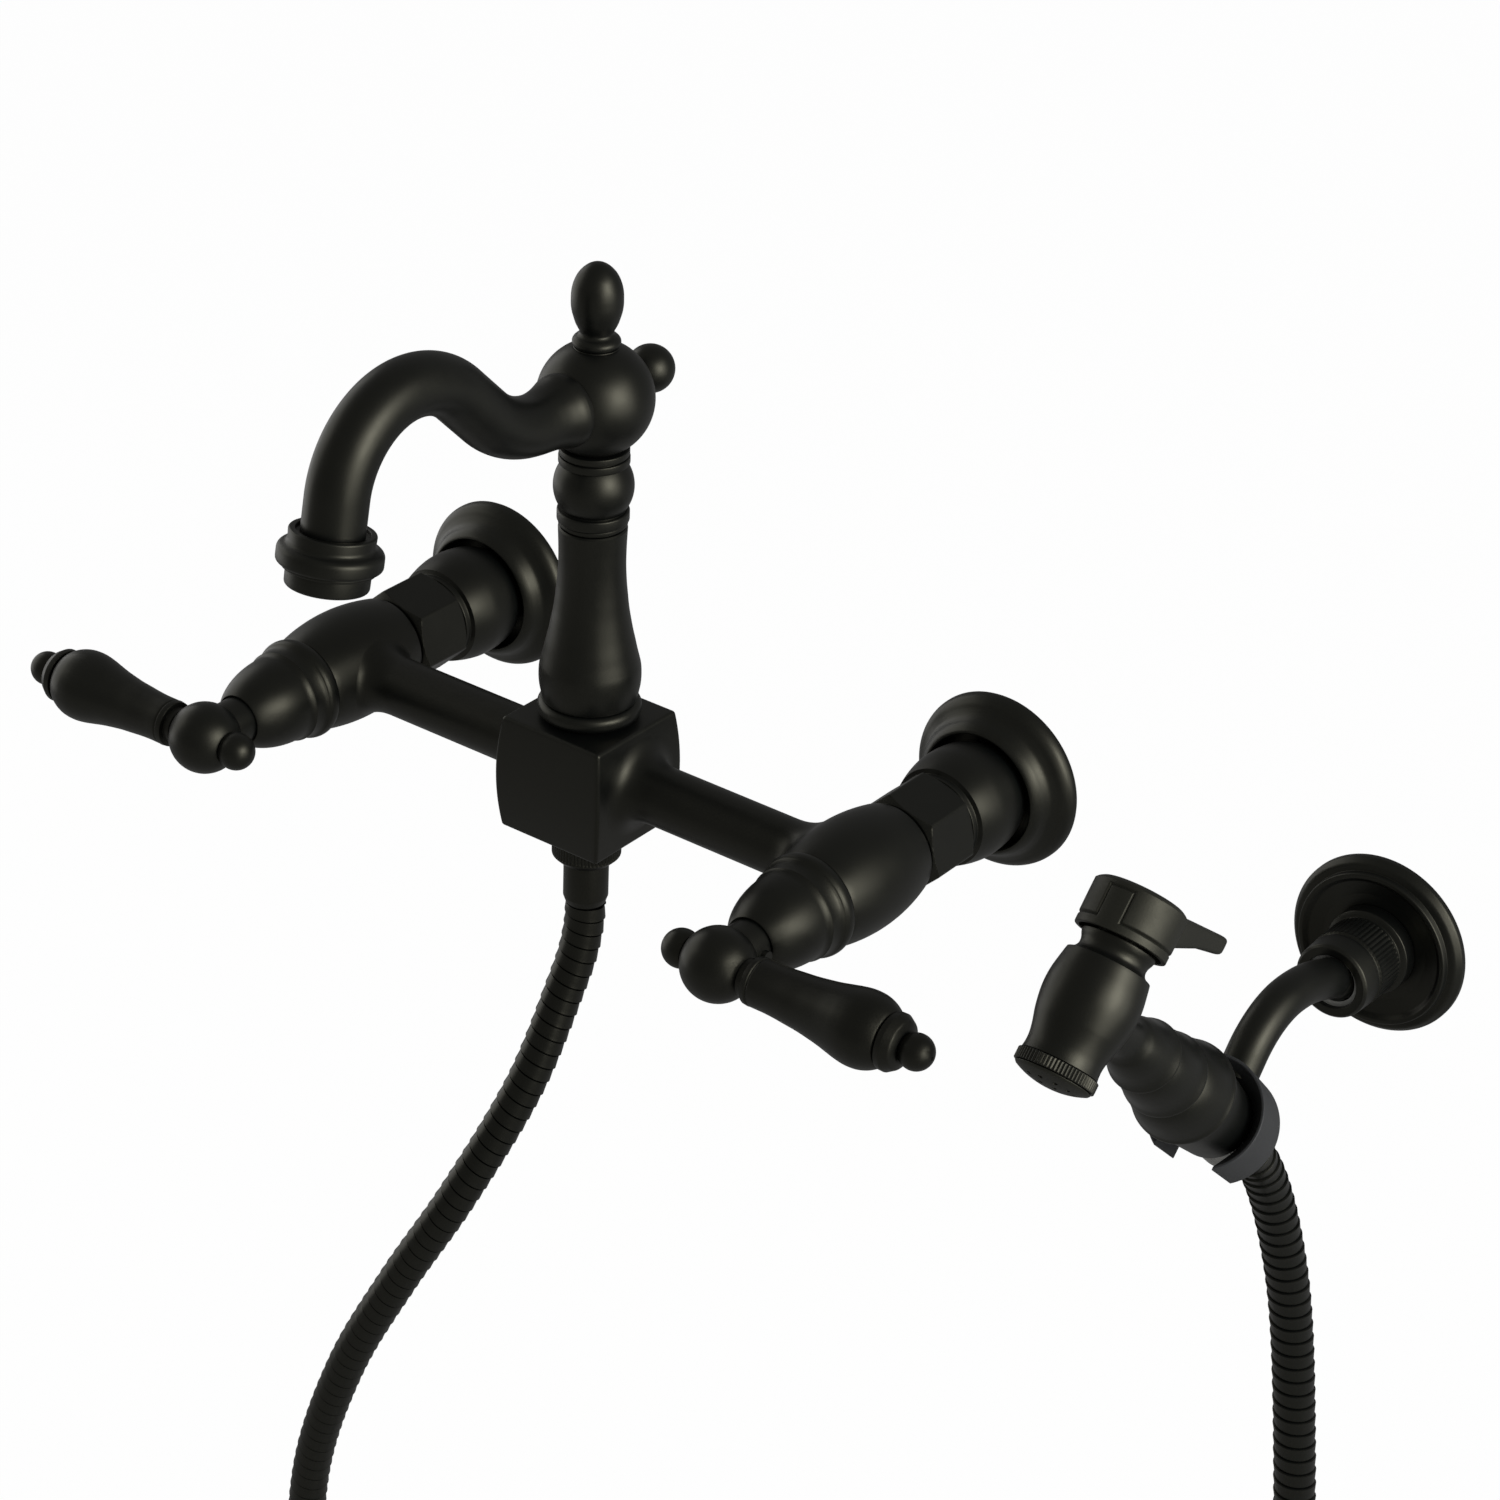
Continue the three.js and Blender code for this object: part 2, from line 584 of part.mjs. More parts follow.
/** The bonnet: an elliptical dome over the cartridge, with a bead where it meets the barrel. */
function bonnet() {
  const dome = [];
  for (let k = 0; k <= 4; k += 1) {
    const along = BONNET_NOSE - ((BONNET_NOSE - DOME_START) * k) / 4;
    const share = (along - DOME_START) / DOME_SEMI_AXIS;
    dome.push([-along, BONNET_RADIUS * Math.sqrt(1 - share * share)]);
  }
  const bead = [
    [1.4 - DOME_START, BONNET_RADIUS + 1],
    [3.8 - DOME_START, BEAD_RADIUS - 0.1],
    [-BONNET_REAR - 3.2, BEAD_RADIUS],
    [-BONNET_REAR, BEAD_RADIUS - 0.8],
  ];
  const inside = [
    [-BONNET_REAR, CARTRIDGE_RADIUS + FIT],
    [-CARTRIDGE_SHOULDER - 0.5, CARTRIDGE_RADIUS + FIT],
    [-NECK_END - 1, CARTRIDGE_NECK_RADIUS + 0.6],
    [-NECK_END - 1, STEM_RADIUS + 1.2],
    [-COLLAR_REAR + FIT, STEM_RADIUS + 1.2],
    [-COLLAR_REAR + FIT, HANDLE_COLLAR + FIT],
    [-BONNET_NOSE, HANDLE_COLLAR + FIT],
  ];
  return turned("y", [...dome, ...bead, ...inside]);
}

/** The quarter-turn ceramic cartridge, with a socket for the stem. */
function cartridge() {
  return turned("y", [
    [-CARTRIDGE_BACK - FIT, 0],
    [-CARTRIDGE_BACK - FIT, CARTRIDGE_RADIUS],
    [-CARTRIDGE_SHOULDER, CARTRIDGE_RADIUS],
    [-CARTRIDGE_SHOULDER - 0.8, CARTRIDGE_NECK_RADIUS],
    [-NECK_END, CARTRIDGE_NECK_RADIUS],
    [-NECK_END, STEM_RADIUS + FIT],
    [-STEM_REAR, STEM_RADIUS + FIT],
    [-STEM_REAR, 0],
  ]);
}

/** The stem turned by the handle, from the cartridge into the handle ball. */
const valveStem = () => rod("y", -HANDLE_REACH + 4, -STEM_REAR - FIT, STEM_RADIUS);

// ---------------------------------------------------------------- handles: lever along +x of their own frame

/** The ball with its collar: bored for the stem, with two flats and threaded holes. */
function handleHub() {
  const collarJoin = HANDLE_REACH - chord(HANDLE_BALL, HANDLE_COLLAR);
  const profile = [
    ...ballArc(-HANDLE_REACH, HANDLE_BALL, -HANDLE_REACH - HANDLE_BALL, -collarJoin, 8),
    [-COLLAR_REAR, HANDLE_COLLAR],
    [-COLLAR_REAR, 0],
  ];
  let hub = turned("y", profile);
  hub = hub.subtract(rod("y", -HANDLE_REACH + 3.5, -COLLAR_REAR + 1, STEM_RADIUS + FIT));
  const cuts = [
    rod("x", HANDLE_SEAT, HANDLE_BALL + 1, 7),
    rod("x", -HANDLE_BALL - 1, -HANDLE_SEAT, 6),
    rod("x", 4.6, HANDLE_BALL, 3),
    rod("x", -HANDLE_BALL, -4.8, SCREW_RADIUS + FIT),
  ];
  for (const cut of cuts) hub = hub.subtract(put(cut, 0, -HANDLE_REACH, 0));
  const screwHole = rod("x", 2, HANDLE_COLLAR + 1, SET_SCREW_RADIUS + FIT);
  return hub.subtract(put(screwHole, 0, -SET_SCREW_REACH, 0));
}

/** The grub screw in the collar, with a hexagonal socket. */
function setScrew() {
  const body = rod("x", STEM_RADIUS + FIT, HANDLE_COLLAR - 0.5, SET_SCREW_RADIUS);
  const key = solid(new THREE.CylinderGeometry(0.9, 0.9, 3, 6).rotateZ(Math.PI / 2));
  return put(body.subtract(put(key, HANDLE_COLLAR - 0.5, 0, 0)), 0, -SET_SCREW_REACH, 0);
}

/** The lever's grip: neck, ring, and a long swell that rounds over at the end. */
function leverGrip() {
  const start = HANDLE_SEAT + FIT;
  const swell = [];
  const from = 20;
  const peak = LEVER_LENGTH - 9;
  for (let k = 0; k <= 7; k += 1) {
    const share = k / 7;
    const rise = share ** 2 * (3 - 2 * share) * 0.45 + share ** 2.2 * 0.55;
    const radius = LEVER_MIN_RADIUS + (LEVER_MAX_RADIUS - LEVER_MIN_RADIUS) * rise;
    swell.push([from + (peak - from) * share, radius]);
  }
  const profile = [
    [5, 0],
    [5, 2.7],
    [start, 2.7],
    [start, 5.9],
    [start + 2.2, 5.9],
    [start + 2.7, LEVER_MIN_RADIUS],
    [start + 4.1, LEVER_MIN_RADIUS + 0.15],
    [start + 4.6, LEVER_MIN_RADIUS - 0.35],
    [start + 5.2, LEVER_MIN_RADIUS],
    ...swell,
    [LEVER_LENGTH - 6, LEVER_MAX_RADIUS - 0.25],
    [LEVER_LENGTH - 3.4, LEVER_MAX_RADIUS - 1.1],
    [LEVER_LENGTH - 1.2, LEVER_MAX_RADIUS - 2.3],
    [LEVER_LENGTH, LEVER_MAX_RADIUS - 3.5],
    [LEVER_LENGTH, SCREW_RADIUS + FIT],
    [LEVER_LENGTH - 10, SCREW_RADIUS + FIT],
    [LEVER_LENGTH - 10, 0],
  ];
  return put(turned("x", profile), 0, -HANDLE_REACH, 0);
}

const WASHER_START = LEVER_LENGTH + FIT;
const WASHER_END = WASHER_START + 4.6;

/** The domed washer on the end of the grip. */
function leverWasher() {
  const profile = [
    [WASHER_START, SCREW_RADIUS + FIT],
    [WASHER_START, 7.9],
    [WASHER_START + 0.8, 8.5],
    [WASHER_START + 2.2, 8.2],
    [WASHER_START + 3.6, 7],
    [WASHER_END, 5],
    [WASHER_END, SCREW_RADIUS + FIT],
  ];
  return put(turned("x", profile), 0, -HANDLE_REACH, 0);
}

/** A small ball on a screw. The stud enters from one end of it towards the handle. */
function studBall(seat, centre, size, stud) {
  const side = Math.sign(centre);
  const flat = Math.abs(centre - seat);
  const foot = flat < size ? chord(size, flat) : 3;
  const profile = [
    [side * stud, 0],
    [side * stud, SCREW_RADIUS],
    [seat, SCREW_RADIUS],
    [seat, foot],
    ...ballArc(Math.abs(centre), size, Math.abs(centre) - chord(size, foot), Math.abs(centre) + size, 5)
      .map(([along, radius]) => [side * along, radius]),
  ];
  return put(turned("x", profile), 0, -HANDLE_REACH, 0);
}

const leverTip = () => studBall(WASHER_END + FIT, WASHER_END + 4.9, TIP_BALL, LEVER_LENGTH - 9);
const counterBall = () => studBall(-HANDLE_SEAT - FIT, -HANDLE_SEAT - 3.4, COUNTER_BALL, 5.4);

// ---------------------------------------------------------------- the column and the swivelling spout

const RING_BOTTOM = SEAT_TOP + FIT;
const COLUMN_FOOT = RING_BOTTOM + BASE_RING_HEIGHT + FIT;
const HUB_FLAT_BOTTOM = HUB_HEIGHT - chord(HUB_RADIUS, HUB_SEAT_RADIUS);
const HUB_FLAT_TOP = HUB_HEIGHT + chord(HUB_RADIUS, FINIAL_FOOT);
const KNUCKLE_TOP = HUB_FLAT_BOTTOM - FIT;
const KNUCKLE_BOTTOM = KNUCKLE_TOP - KNUCKLE_HEIGHT;
const KNUCKLE_CENTRE = KNUCKLE_TOP - 12.5;
const COLUMN_TOP = KNUCKLE_BOTTOM - FIT;
const SPOUT_BORE = WATERWAY + 1.4; // inside the knuckle's spigot and the hub

/** The ring nut on the block that holds the column down. */
function spoutNut() {
  const top = RING_BOTTOM + BASE_RING_HEIGHT;
  const profile = [
    [RING_BOTTOM, SPIGOT_IN_BLOCK + FIT],
    [RING_BOTTOM, BASE_RING_RADIUS - 0.9],
    [RING_BOTTOM + 0.9, BASE_RING_RADIUS - 0.2],
    [RING_BOTTOM + 1.9, BASE_RING_RADIUS],
    [top - 1.4, BASE_RING_RADIUS],
    [top - 0.5, BASE_RING_RADIUS - 0.4],
    [top, BASE_RING_RADIUS - 1.1],
    [top, SPIGOT_IN_BLOCK + FIT],
  ];
  return turned("z", profile);
}

const SPIGOT_END_HEIGHT = SEAT_TOP - SPIGOT_DEPTH;
const SEAL_HEIGHT = SEAT_TOP - 0.6 * SPIGOT_DEPTH;
const GROOVE_RADIUS = SPIGOT_IN_BLOCK - SEAL_SECTION - 0.5;

/** The turned column: a vase on a spigot that turns in the block, with a groove for the seal. */
function spoutColumn() {
  const vase = [
    [0, COLUMN_BELLY - 1.2],
    [0.05, COLUMN_BELLY - 0.5],
    [0.15, COLUMN_BELLY],
    [0.22, COLUMN_BELLY - 0.5],
    [0.33, COLUMN_BELLY - 2.1],
    [0.47, COLUMN_BELLY - 3.7],
    [0.62, COLUMN_NECK + 0.75],
    [0.8, COLUMN_NECK + 0.05],
    [1, COLUMN_NECK],
  ].map(([share, radius]) => [COLUMN_FOOT + share * (COLUMN_TOP - COLUMN_FOOT), radius]);
  const spigotTop = COLUMN_TOP + 7;
  const profile = [
    [SPIGOT_END_HEIGHT, WATERWAY],
    [SPIGOT_END_HEIGHT, SPIGOT_IN_BLOCK],
    [SEAL_HEIGHT - SEAL_SECTION, SPIGOT_IN_BLOCK],
    [SEAL_HEIGHT - SEAL_SECTION, GROOVE_RADIUS],
    [SEAL_HEIGHT + SEAL_SECTION, GROOVE_RADIUS],
    [SEAL_HEIGHT + SEAL_SECTION, SPIGOT_IN_BLOCK],
    [COLUMN_FOOT, SPIGOT_IN_BLOCK],
    ...vase,
    [COLUMN_TOP, SPOUT_BORE],
    [spigotTop, SPOUT_BORE],
    [spigotTop, WATERWAY],
  ];
  return turned("z", profile);
}

/** The ring seal in the column's groove. */
function spoutSeal() {
  const middle = GROOVE_RADIUS + FIT + SEAL_SECTION / 2;
  return turned("z", arc(SEAL_HEIGHT, middle, SEAL_SECTION / 2, 0, 300, 5));
}

/** The knuckle between column and hub: a ring, a ball and a ring. */
function spoutKnuckle() {
  const neck = KNUCKLE_RING - 0.9;
  const reach = chord(KNUCKLE_BALL, neck);
  const profile = [
    [KNUCKLE_BOTTOM, SPOUT_BORE + FIT],
    [KNUCKLE_BOTTOM, KNUCKLE_RING - 0.6],
    [KNUCKLE_BOTTOM + 1.8, KNUCKLE_RING],
    [KNUCKLE_BOTTOM + 5.4, KNUCKLE_RING - 0.1],
    [KNUCKLE_BOTTOM + 6.2, neck],
    ...ballArc(KNUCKLE_CENTRE, KNUCKLE_BALL, KNUCKLE_CENTRE - reach, KNUCKLE_CENTRE + reach, 6),
    [KNUCKLE_TOP - 4.2, KNUCKLE_RING - 0.3],
    [KNUCKLE_TOP - 3, KNUCKLE_RING],
    [KNUCKLE_TOP - 1.2, KNUCKLE_RING],
    [KNUCKLE_TOP, KNUCKLE_RING - 0.7],
    [KNUCKLE_TOP, SPOUT_BORE + FIT],
  ];
  return turned("z", profile);
}

const KNOB_SEAT = chord(HUB_RADIUS, 5.2);

/** The ball hub: bored from below, with a socket for the tube and threaded holes for finial and knob. */
function spoutHub() {
  const profile = [
    [HUB_FLAT_BOTTOM, 0],
    ...ballArc(HUB_HEIGHT, HUB_RADIUS, HUB_FLAT_BOTTOM, HUB_FLAT_TOP, 9),
    [HUB_FLAT_TOP, 0],
  ];
  let hub = turned("z", profile);
  const level = HUB_HEIGHT + TUBE_RISE;
  hub = hub.subtract(rod("z", HUB_FLAT_BOTTOM - 1, HUB_HEIGHT, SPOUT_BORE));
  hub = hub.subtract(put(rod("y", -TUBE_SOCKET, 0, TUBE_RADIUS - TUBE_WALL), 0, 0, level));
  hub = hub.subtract(put(rod("y", -HUB_RADIUS - 1, -TUBE_SOCKET + FIT, TUBE_RADIUS + FIT), 0, 0, level));
  hub = hub.subtract(put(rod("y", -HUB_RADIUS - 1, -FLARE_START + FIT, FLARE_RADIUS + FIT), 0, 0, level));
  hub = hub.subtract(rod("z", HUB_FLAT_TOP - 7.5, HUB_FLAT_TOP + 1, SCREW_RADIUS + FIT));
  hub = hub.subtract(put(rod("y", KNOB_SEAT, HUB_RADIUS + 1, 6), 0, 0, HUB_HEIGHT));
  return hub.subtract(put(rod("y", KNOB_SEAT - 8, HUB_RADIUS + 1, SCREW_RADIUS + FIT), 0, 0, HUB_HEIGHT));
}

const EGG_START = 24; // degrees of the egg's ellipse taken by the waist

/** The finial on the hub: a step, a bead, a waist and an egg. */
function hubFinial() {
  const foot = HUB_FLAT_TOP + FIT;
  const waist = foot + 5.4;
  const egg = [];
  const middle = (waist + foot + FINIAL_HEIGHT) / 2;
  const half = (foot + FINIAL_HEIGHT - waist) / 2;
  for (let k = 1; k <= 8; k += 1) {
    const angle = radians(EGG_START + ((180 - EGG_START) * k) / 8);
    egg.push([middle - half * Math.cos(angle), FINIAL_RADIUS * Math.sin(angle)]);
  }
  egg[egg.length - 1][1] = 0;
  const profile = [
    [foot - 6.5, 0],
    [foot - 6.5, SCREW_RADIUS],
    [foot, SCREW_RADIUS],
    [foot, FINIAL_FOOT - 0.1],
    [foot + 1.3, FINIAL_FOOT - 0.1],
    [foot + 1.9, 6.6],
    [foot + 2.9, 7.05],
    [foot + 3.9, 6.7],
    [waist, 5],
    ...egg,
  ];
  return turned("z", profile);
}

/** The knob behind the hub: a ball on a short neck. */
function hubKnob() {
  const seat = KNOB_SEAT + FIT;
  const profile = [
    [seat - 7, 0],
    [seat - 7, SCREW_RADIUS],
    [seat, SCREW_RADIUS],
    [seat, 4.8],
    [seat + 1.4, 4.8],
    ...ballArc(KNOB_REACH, KNOB_RADIUS, KNOB_REACH - chord(KNOB_RADIUS, 4.2), KNOB_REACH + KNOB_RADIUS, 6),
  ];
  return put(turned("y", profile), 0, 0, HUB_HEIGHT);
}

const spoutRoute = route(new THREE.Vector3(0, -TUBE_SOCKET, HUB_HEIGHT + TUBE_RISE), OUT, UP, 0, [
  { straight: TUBE_RUN - TUBE_SOCKET },
  { bend: TUBE_LOW_BEND, turn: TUBE_CLIMB },
  { straight: TUBE_SLOPE },
  { bend: TUBE_HIGH_BEND, turn: -TUBE_CLIMB },
  { bend: TUBE_DROP_BEND, turn: OUTLET_TILT - 90 },
  { straight: TUBE_TAIL },
]);

/** The gooseneck: a hollow tube along its bends, with a flared foot at the hub. */
function spoutTube() {
  const tube = piped(spoutRoute.path, 20, TUBE_RADIUS, SIDES, TUBE_RADIUS - TUBE_WALL);
  const flare = [
    [-TUBE_RUN + 1, TUBE_RADIUS - 0.3],
    [-TUBE_RUN + 5, TUBE_RADIUS + 0.7],
    [-FLARE_START - 3.5, FLARE_RADIUS],
    [-FLARE_START, FLARE_RADIUS],
    [-FLARE_START, TUBE_RADIUS - 0.5],
  ];
  return tube.add(put(turned("y", flare), 0, 0, HUB_HEIGHT + TUBE_RISE));
}

// The outlet pieces are turned about the outlet's own axis: z up it, 0 at the end of the tube.

const BEAD_HALF = 1.5;
const THREAD_END = -BEAD_HALF - 0.45 * AERATOR_LENGTH;

/** The collar soldered on the end of the tube, with a bead above the aerator's thread. */
function outletCollar() {
  const hole = TUBE_RADIUS + FIT;
  const thread = AERATOR_RADIUS - WALL - FIT;
  const profile = [
    [COLLAR_LENGTH, hole],
    [COLLAR_LENGTH, COLLAR_RADIUS - 1],
    [COLLAR_LENGTH - 0.8, COLLAR_RADIUS],
    [BEAD_HALF, COLLAR_RADIUS],
    [BEAD_HALF - 0.7, COLLAR_BEAD],
    [0.7 - BEAD_HALF, COLLAR_BEAD],
    [-BEAD_HALF, COLLAR_RADIUS + 0.9],
    [-BEAD_HALF, thread],
    [THREAD_END, thread],
    [THREAD_END, WATERWAY + 1],
    [-FIT, WATERWAY + 1],
    [-FIT, hole],
  ];
  return turned("z", profile);
}

const SHELL_TOP = -BEAD_HALF - FIT;
const SHELL_BOTTOM = SHELL_TOP - AERATOR_LENGTH;

/** The aerator's outer shell. */
function aeratorShell() {
  const profile = [
    [SHELL_TOP, AERATOR_RADIUS - WALL],
    [SHELL_TOP, AERATOR_RADIUS],
    [SHELL_BOTTOM + 1.4, AERATOR_RADIUS - 0.25],
    [SHELL_BOTTOM + 0.4, AERATOR_RADIUS - 0.7],
    [SHELL_BOTTOM, AERATOR_RADIUS - 1.2],
    [SHELL_BOTTOM, AERATOR_RADIUS - WALL - 1],
    [SHELL_BOTTOM + 0.8, AERATOR_RADIUS - WALL - 1],
    [SHELL_BOTTOM + 0.8, AERATOR_RADIUS - WALL],
  ];
  return turned("z", profile);
}

/** The screen inside the shell, ringed by its flow slots. */
function aeratorScreen() {
  const outer = AERATOR_RADIUS - WALL - FIT;
  const bottom = SHELL_BOTTOM + 0.8 + FIT;
  let screen = rod("z", bottom, THREAD_END - FIT, outer);
  const holes = 6;
  for (let k = 0; k < holes; k += 1) {
    const angle = (2 * Math.PI * k) / holes;
    const hole = rod("z", bottom - 1, 0, 1.4, 8);
    screen = screen.subtract(put(hole, 0.62 * outer * Math.cos(angle), 0.62 * outer * Math.sin(angle), 0));
  }
  return screen;
}

// ---------------------------------------------------------------- hose connections

const HOSE_NUT_TOP = SEAT_BOTTOM - FIT;
const HOSE_NUT_BOTTOM = HOSE_NUT_TOP - HOSE_NUT_LENGTH;
const FERRULE_TOP = HOSE_NUT_BOTTOM - FIT;
const FERRULE_BOTTOM = FERRULE_TOP - FERRULE_LENGTH;

/** A round nut with coarse knurling, made as flutes around its edge, with chamfered ends. */
function knurled(axis, from, to, radius, hole) {
  const outline = [];
  const flutes = 4 * Math.round((2 * Math.PI * radius) / KNURL_PITCH / 4);
  for (let k = 0; k < 2 * flutes; k += 1) {
    const angle = (Math.PI * k) / flutes;
    const reach = k % 2 ? radius - KNURL_DEPTH : radius;
    outline.push(new THREE.Vector2(reach * Math.cos(angle), reach * Math.sin(angle)));
  }
  const length = Math.abs(to - from);
  const settings = { depth: length, bevelEnabled: false, steps: 1 };
  const bar = new THREE.ExtrudeGeometry(new THREE.Shape(outline), settings);
  const turnedBar = solid(axis === "z" ? bar : bar.rotateX(-Math.PI / 2));
  const low = Math.min(from, to);
  const placed = axis === "z" ? put(turnedBar, 0, 0, low) : put(turnedBar, 0, low, 0);
  const chamfer = turned(axis, [
    [low - 0.01, 0],
    [low - 0.01, radius - 0.9],
    [low + 0.9, radius + 0.1],
    [low + length - 0.9, radius + 0.1],
    [low + length + 0.01, radius - 0.9],
    [low + length + 0.01, 0],
  ]);
  return placed.intersect(chamfer).subtract(rod(axis, low - 1, low + length + 1, hole));
}

/** The knurled nut that screws the hose to the block. */
function hoseNut() {
  const body = knurled("z", HOSE_NUT_BOTTOM, HOSE_NUT_TOP, HOSE_NUT_RADIUS, FERRULE_NECK + FIT);
  return body.subtract(rod("z", HOSE_NUT_BOTTOM + NUT_FLOOR, HOSE_NUT_TOP + 1, NIPPLE_RADIUS + FIT));
}

/** The crimped ferrule: a flanged nose held in the nut, and a sleeve over the end of the hose. */
function hoseFerrule() {
  const nose = NIPPLE_END - FIT - HOSE_WASHER - FIT;
  const profile = [
    [nose, HOSE_BORE],
    [nose, NIPPLE_RADIUS],
    [HOSE_NUT_BOTTOM + NUT_FLOOR + FIT, NIPPLE_RADIUS],
    [HOSE_NUT_BOTTOM + NUT_FLOOR + FIT, FERRULE_NECK],
    [FERRULE_TOP, FERRULE_NECK],
    [FERRULE_TOP, FERRULE_RADIUS - 0.3],
    [FERRULE_TOP - 0.7, FERRULE_RADIUS],
    [FERRULE_BOTTOM + 2.4, FERRULE_RADIUS],
    [FERRULE_BOTTOM + 0.8, FERRULE_RADIUS - 0.5],
    [FERRULE_BOTTOM, FERRULE_RADIUS - 1.1],
    [FERRULE_BOTTOM, HOSE_BORE],
  ];
  return turned("z", profile);
}

/** The flat washer between nipple and ferrule. */
function hoseWasher() {
  const top = NIPPLE_END - FIT;
  return sleeve("z", top - HOSE_WASHER, top, NIPPLE_RADIUS, HOSE_BORE);
}

// The hose's route, from the ferrule under the block to the ferrule of the parked spray. The points are
// chosen by hand: it leaves downwards, swings out into the room, and hangs in one wide loop.
const HOSE_ROUTE = [
  [0, -78.9, -49.5], [-0.1, -79.1, -56], [-1, -80.7, -67], [-3.2, -84.4, -80.5], [-9.3, -96, -113.8],
  [-24.6, -112, -157], [-43, -121, -195], [-62, -126.5, -237], [-78, -128, -291], [-82, -125, -352],
  [-68, -118, -417], [-33, -109, -478], [21, -99, -521], [84, -89, -538], [148, -79, -523],
  [203, -69, -480], [238, -60, -418], [255, -52, -348], [259, -45, -276], [256, -41, -209],
  [249.8, -40.5, -152], [244.6, -43, -109], [241.2, -48, -83], [238.9, -54.6, -63.5],
  [237.9, -60.5, -52.5], [237.8, -66.2, -45.4], [237.8, -70.3, -41.3],
].map((point) => new THREE.Vector3(...point));

/** The hose along its route. */
function hose() {
  const curve = new THREE.CatmullRomCurve3(HOSE_ROUTE, false, "centripetal");
  const steps = Math.round(HOSE_LENGTH / (2.4 * HOSE_DIAMETER));
  return piped(curve, steps, HOSE_DIAMETER / 2, 10);
}

// ---------------------------------------------------------------- the spray holder, about its own axis

const PLATE_WEB = 3;
const COLLAR_FOOT = PLATE_WEB + 2 * FIT;
const STUD_RADIUS = 5;
const BACKPLATE = 1.6; // thickness of the disc screwed to the wall
const BUSH_BACK = 16.5;
const COLLAR_LIP = 1.2;

/** The stud plate that is screwed to the wall, under the cover plate. */
function holderBracket() {
  const disc = rod("y", -BACKPLATE, 0, 17);
  let bracket = disc.add(rod("y", -14, -1, STUD_RADIUS));
  for (const x of [-12, 12]) {
    const hole = put(rod("y", -3, 1, 2.2, ROD_SIDES), x, 0, 0);
    bracket = bracket.subtract(hole);
  }
  return bracket;
}

/** The cover plate: a rounded rim, a step and a shallow dish. */
function holderPlate() {
  const profile = [
    [0, PLATE_RADIUS - WALL],
    [0, PLATE_RADIUS],
    [-1.4, PLATE_RADIUS],
    [-2.6, PLATE_RADIUS - 0.6],
    [-3.6, PLATE_RADIUS - 1.7],
    [-4.2, PLATE_STEP_RADIUS + 0.7],
    [-4.3, PLATE_STEP_RADIUS],
    [-PLATE_HEIGHT, PLATE_STEP_RADIUS - 0.2],
    [-PLATE_HEIGHT, PLATE_STEP_RADIUS - 1.3],
    [-4.2, 19],
    [-3.5, 14.5],
    [-PLATE_WEB - FIT, 10],
    [-PLATE_WEB - FIT, STUD_RADIUS + FIT],
    [-BACKPLATE - FIT, STUD_RADIUS + FIT],
    [-BACKPLATE - FIT, 20],
    [-BACKPLATE - FIT, PLATE_STEP_RADIUS - 1],
    [-1, PLATE_RADIUS - WALL],
  ];
  return turned("y", profile);
}

/** The knurled collar: a flanged foot, a gripped waist and a smooth ring with the arm's mouth. */
function holderCollar() {
  const waistFront = HOLDER_COLLAR_FRONT - 8;
  const outside = [
    [-COLLAR_FOOT, STUD_RADIUS + FIT],
    [-COLLAR_FOOT, HOLDER_COLLAR_RADIUS + 0.9],
    [-COLLAR_FOOT - 0.6, HOLDER_COLLAR_RADIUS + 1.3],
    [-8.2, HOLDER_COLLAR_RADIUS + 1.3],
    [-8.8, HOLDER_COLLAR_RADIUS + 0.7],
    [-9.2, HOLDER_COLLAR_RADIUS - 0.5],
    [-waistFront, HOLDER_COLLAR_RADIUS - 0.5],
    [-waistFront - 0.4, HOLDER_COLLAR_RADIUS - 0.2],
    [-HOLDER_COLLAR_FRONT + 0.6, HOLDER_COLLAR_RADIUS - 0.6],
    [-HOLDER_COLLAR_FRONT, HOLDER_COLLAR_RADIUS - 1.1],
    [-HOLDER_COLLAR_FRONT, HOLDER_MOUTH],
    [COLLAR_LIP - HOLDER_COLLAR_FRONT, HOLDER_MOUTH],
    [COLLAR_LIP - HOLDER_COLLAR_FRONT, BUSH_RADIUS + FIT],
    [-BUSH_BACK, BUSH_RADIUS + FIT],
    [-BUSH_BACK, STUD_RADIUS + FIT],
  ];
  const grip = knurled("y", 1.2 - waistFront, -10.4, HOLDER_COLLAR_RADIUS, BUSH_RADIUS + 1);
  return turned("y", outside).add(grip);
}

/** The bush in the collar that seats the arm's ball. */
function holderBush() {
  const inner = HOLDER_BALL + FIT;
  const back = -BUSH_BACK - FIT;
  const front = COLLAR_LIP + FIT - HOLDER_COLLAR_FRONT;
  const blank = sleeve("y", front, back, BUSH_RADIUS, 3.6);
  const ball = put(turned("y", ballArc(0, inner, -inner, inner, 8)), 0, -HOLDER_BALL_REACH, 0);
  const mouth = turned("y", [
    [front - 1, 0],
    [front - 1, HOLDER_MOUTH - 0.4],
    [front, HOLDER_MOUTH - 0.4],
    [-HOLDER_BALL_REACH, inner],
    [-HOLDER_BALL_REACH, 0],
  ]);
  return blank.subtract(ball).subtract(mouth);
}

const holderRoute = route(new THREE.Vector3(0, -HOLDER_BALL_REACH, 0), OUT, UP, ARM_RISE, [
  { straight: ARM_START },
  { bend: ARM_CREST_BEND, turn: -ARM_RISE },
  { bend: ARM_DROP_BEND, turn: -ARM_DROP },
  { straight: ARM_END },
]);

const CLIP_START = HANDLE_TAIL_END - CLIP_LEAD; // along the spray's handle, from its head's axis
const CLIP_END = CLIP_START + CLIP_LENGTH;

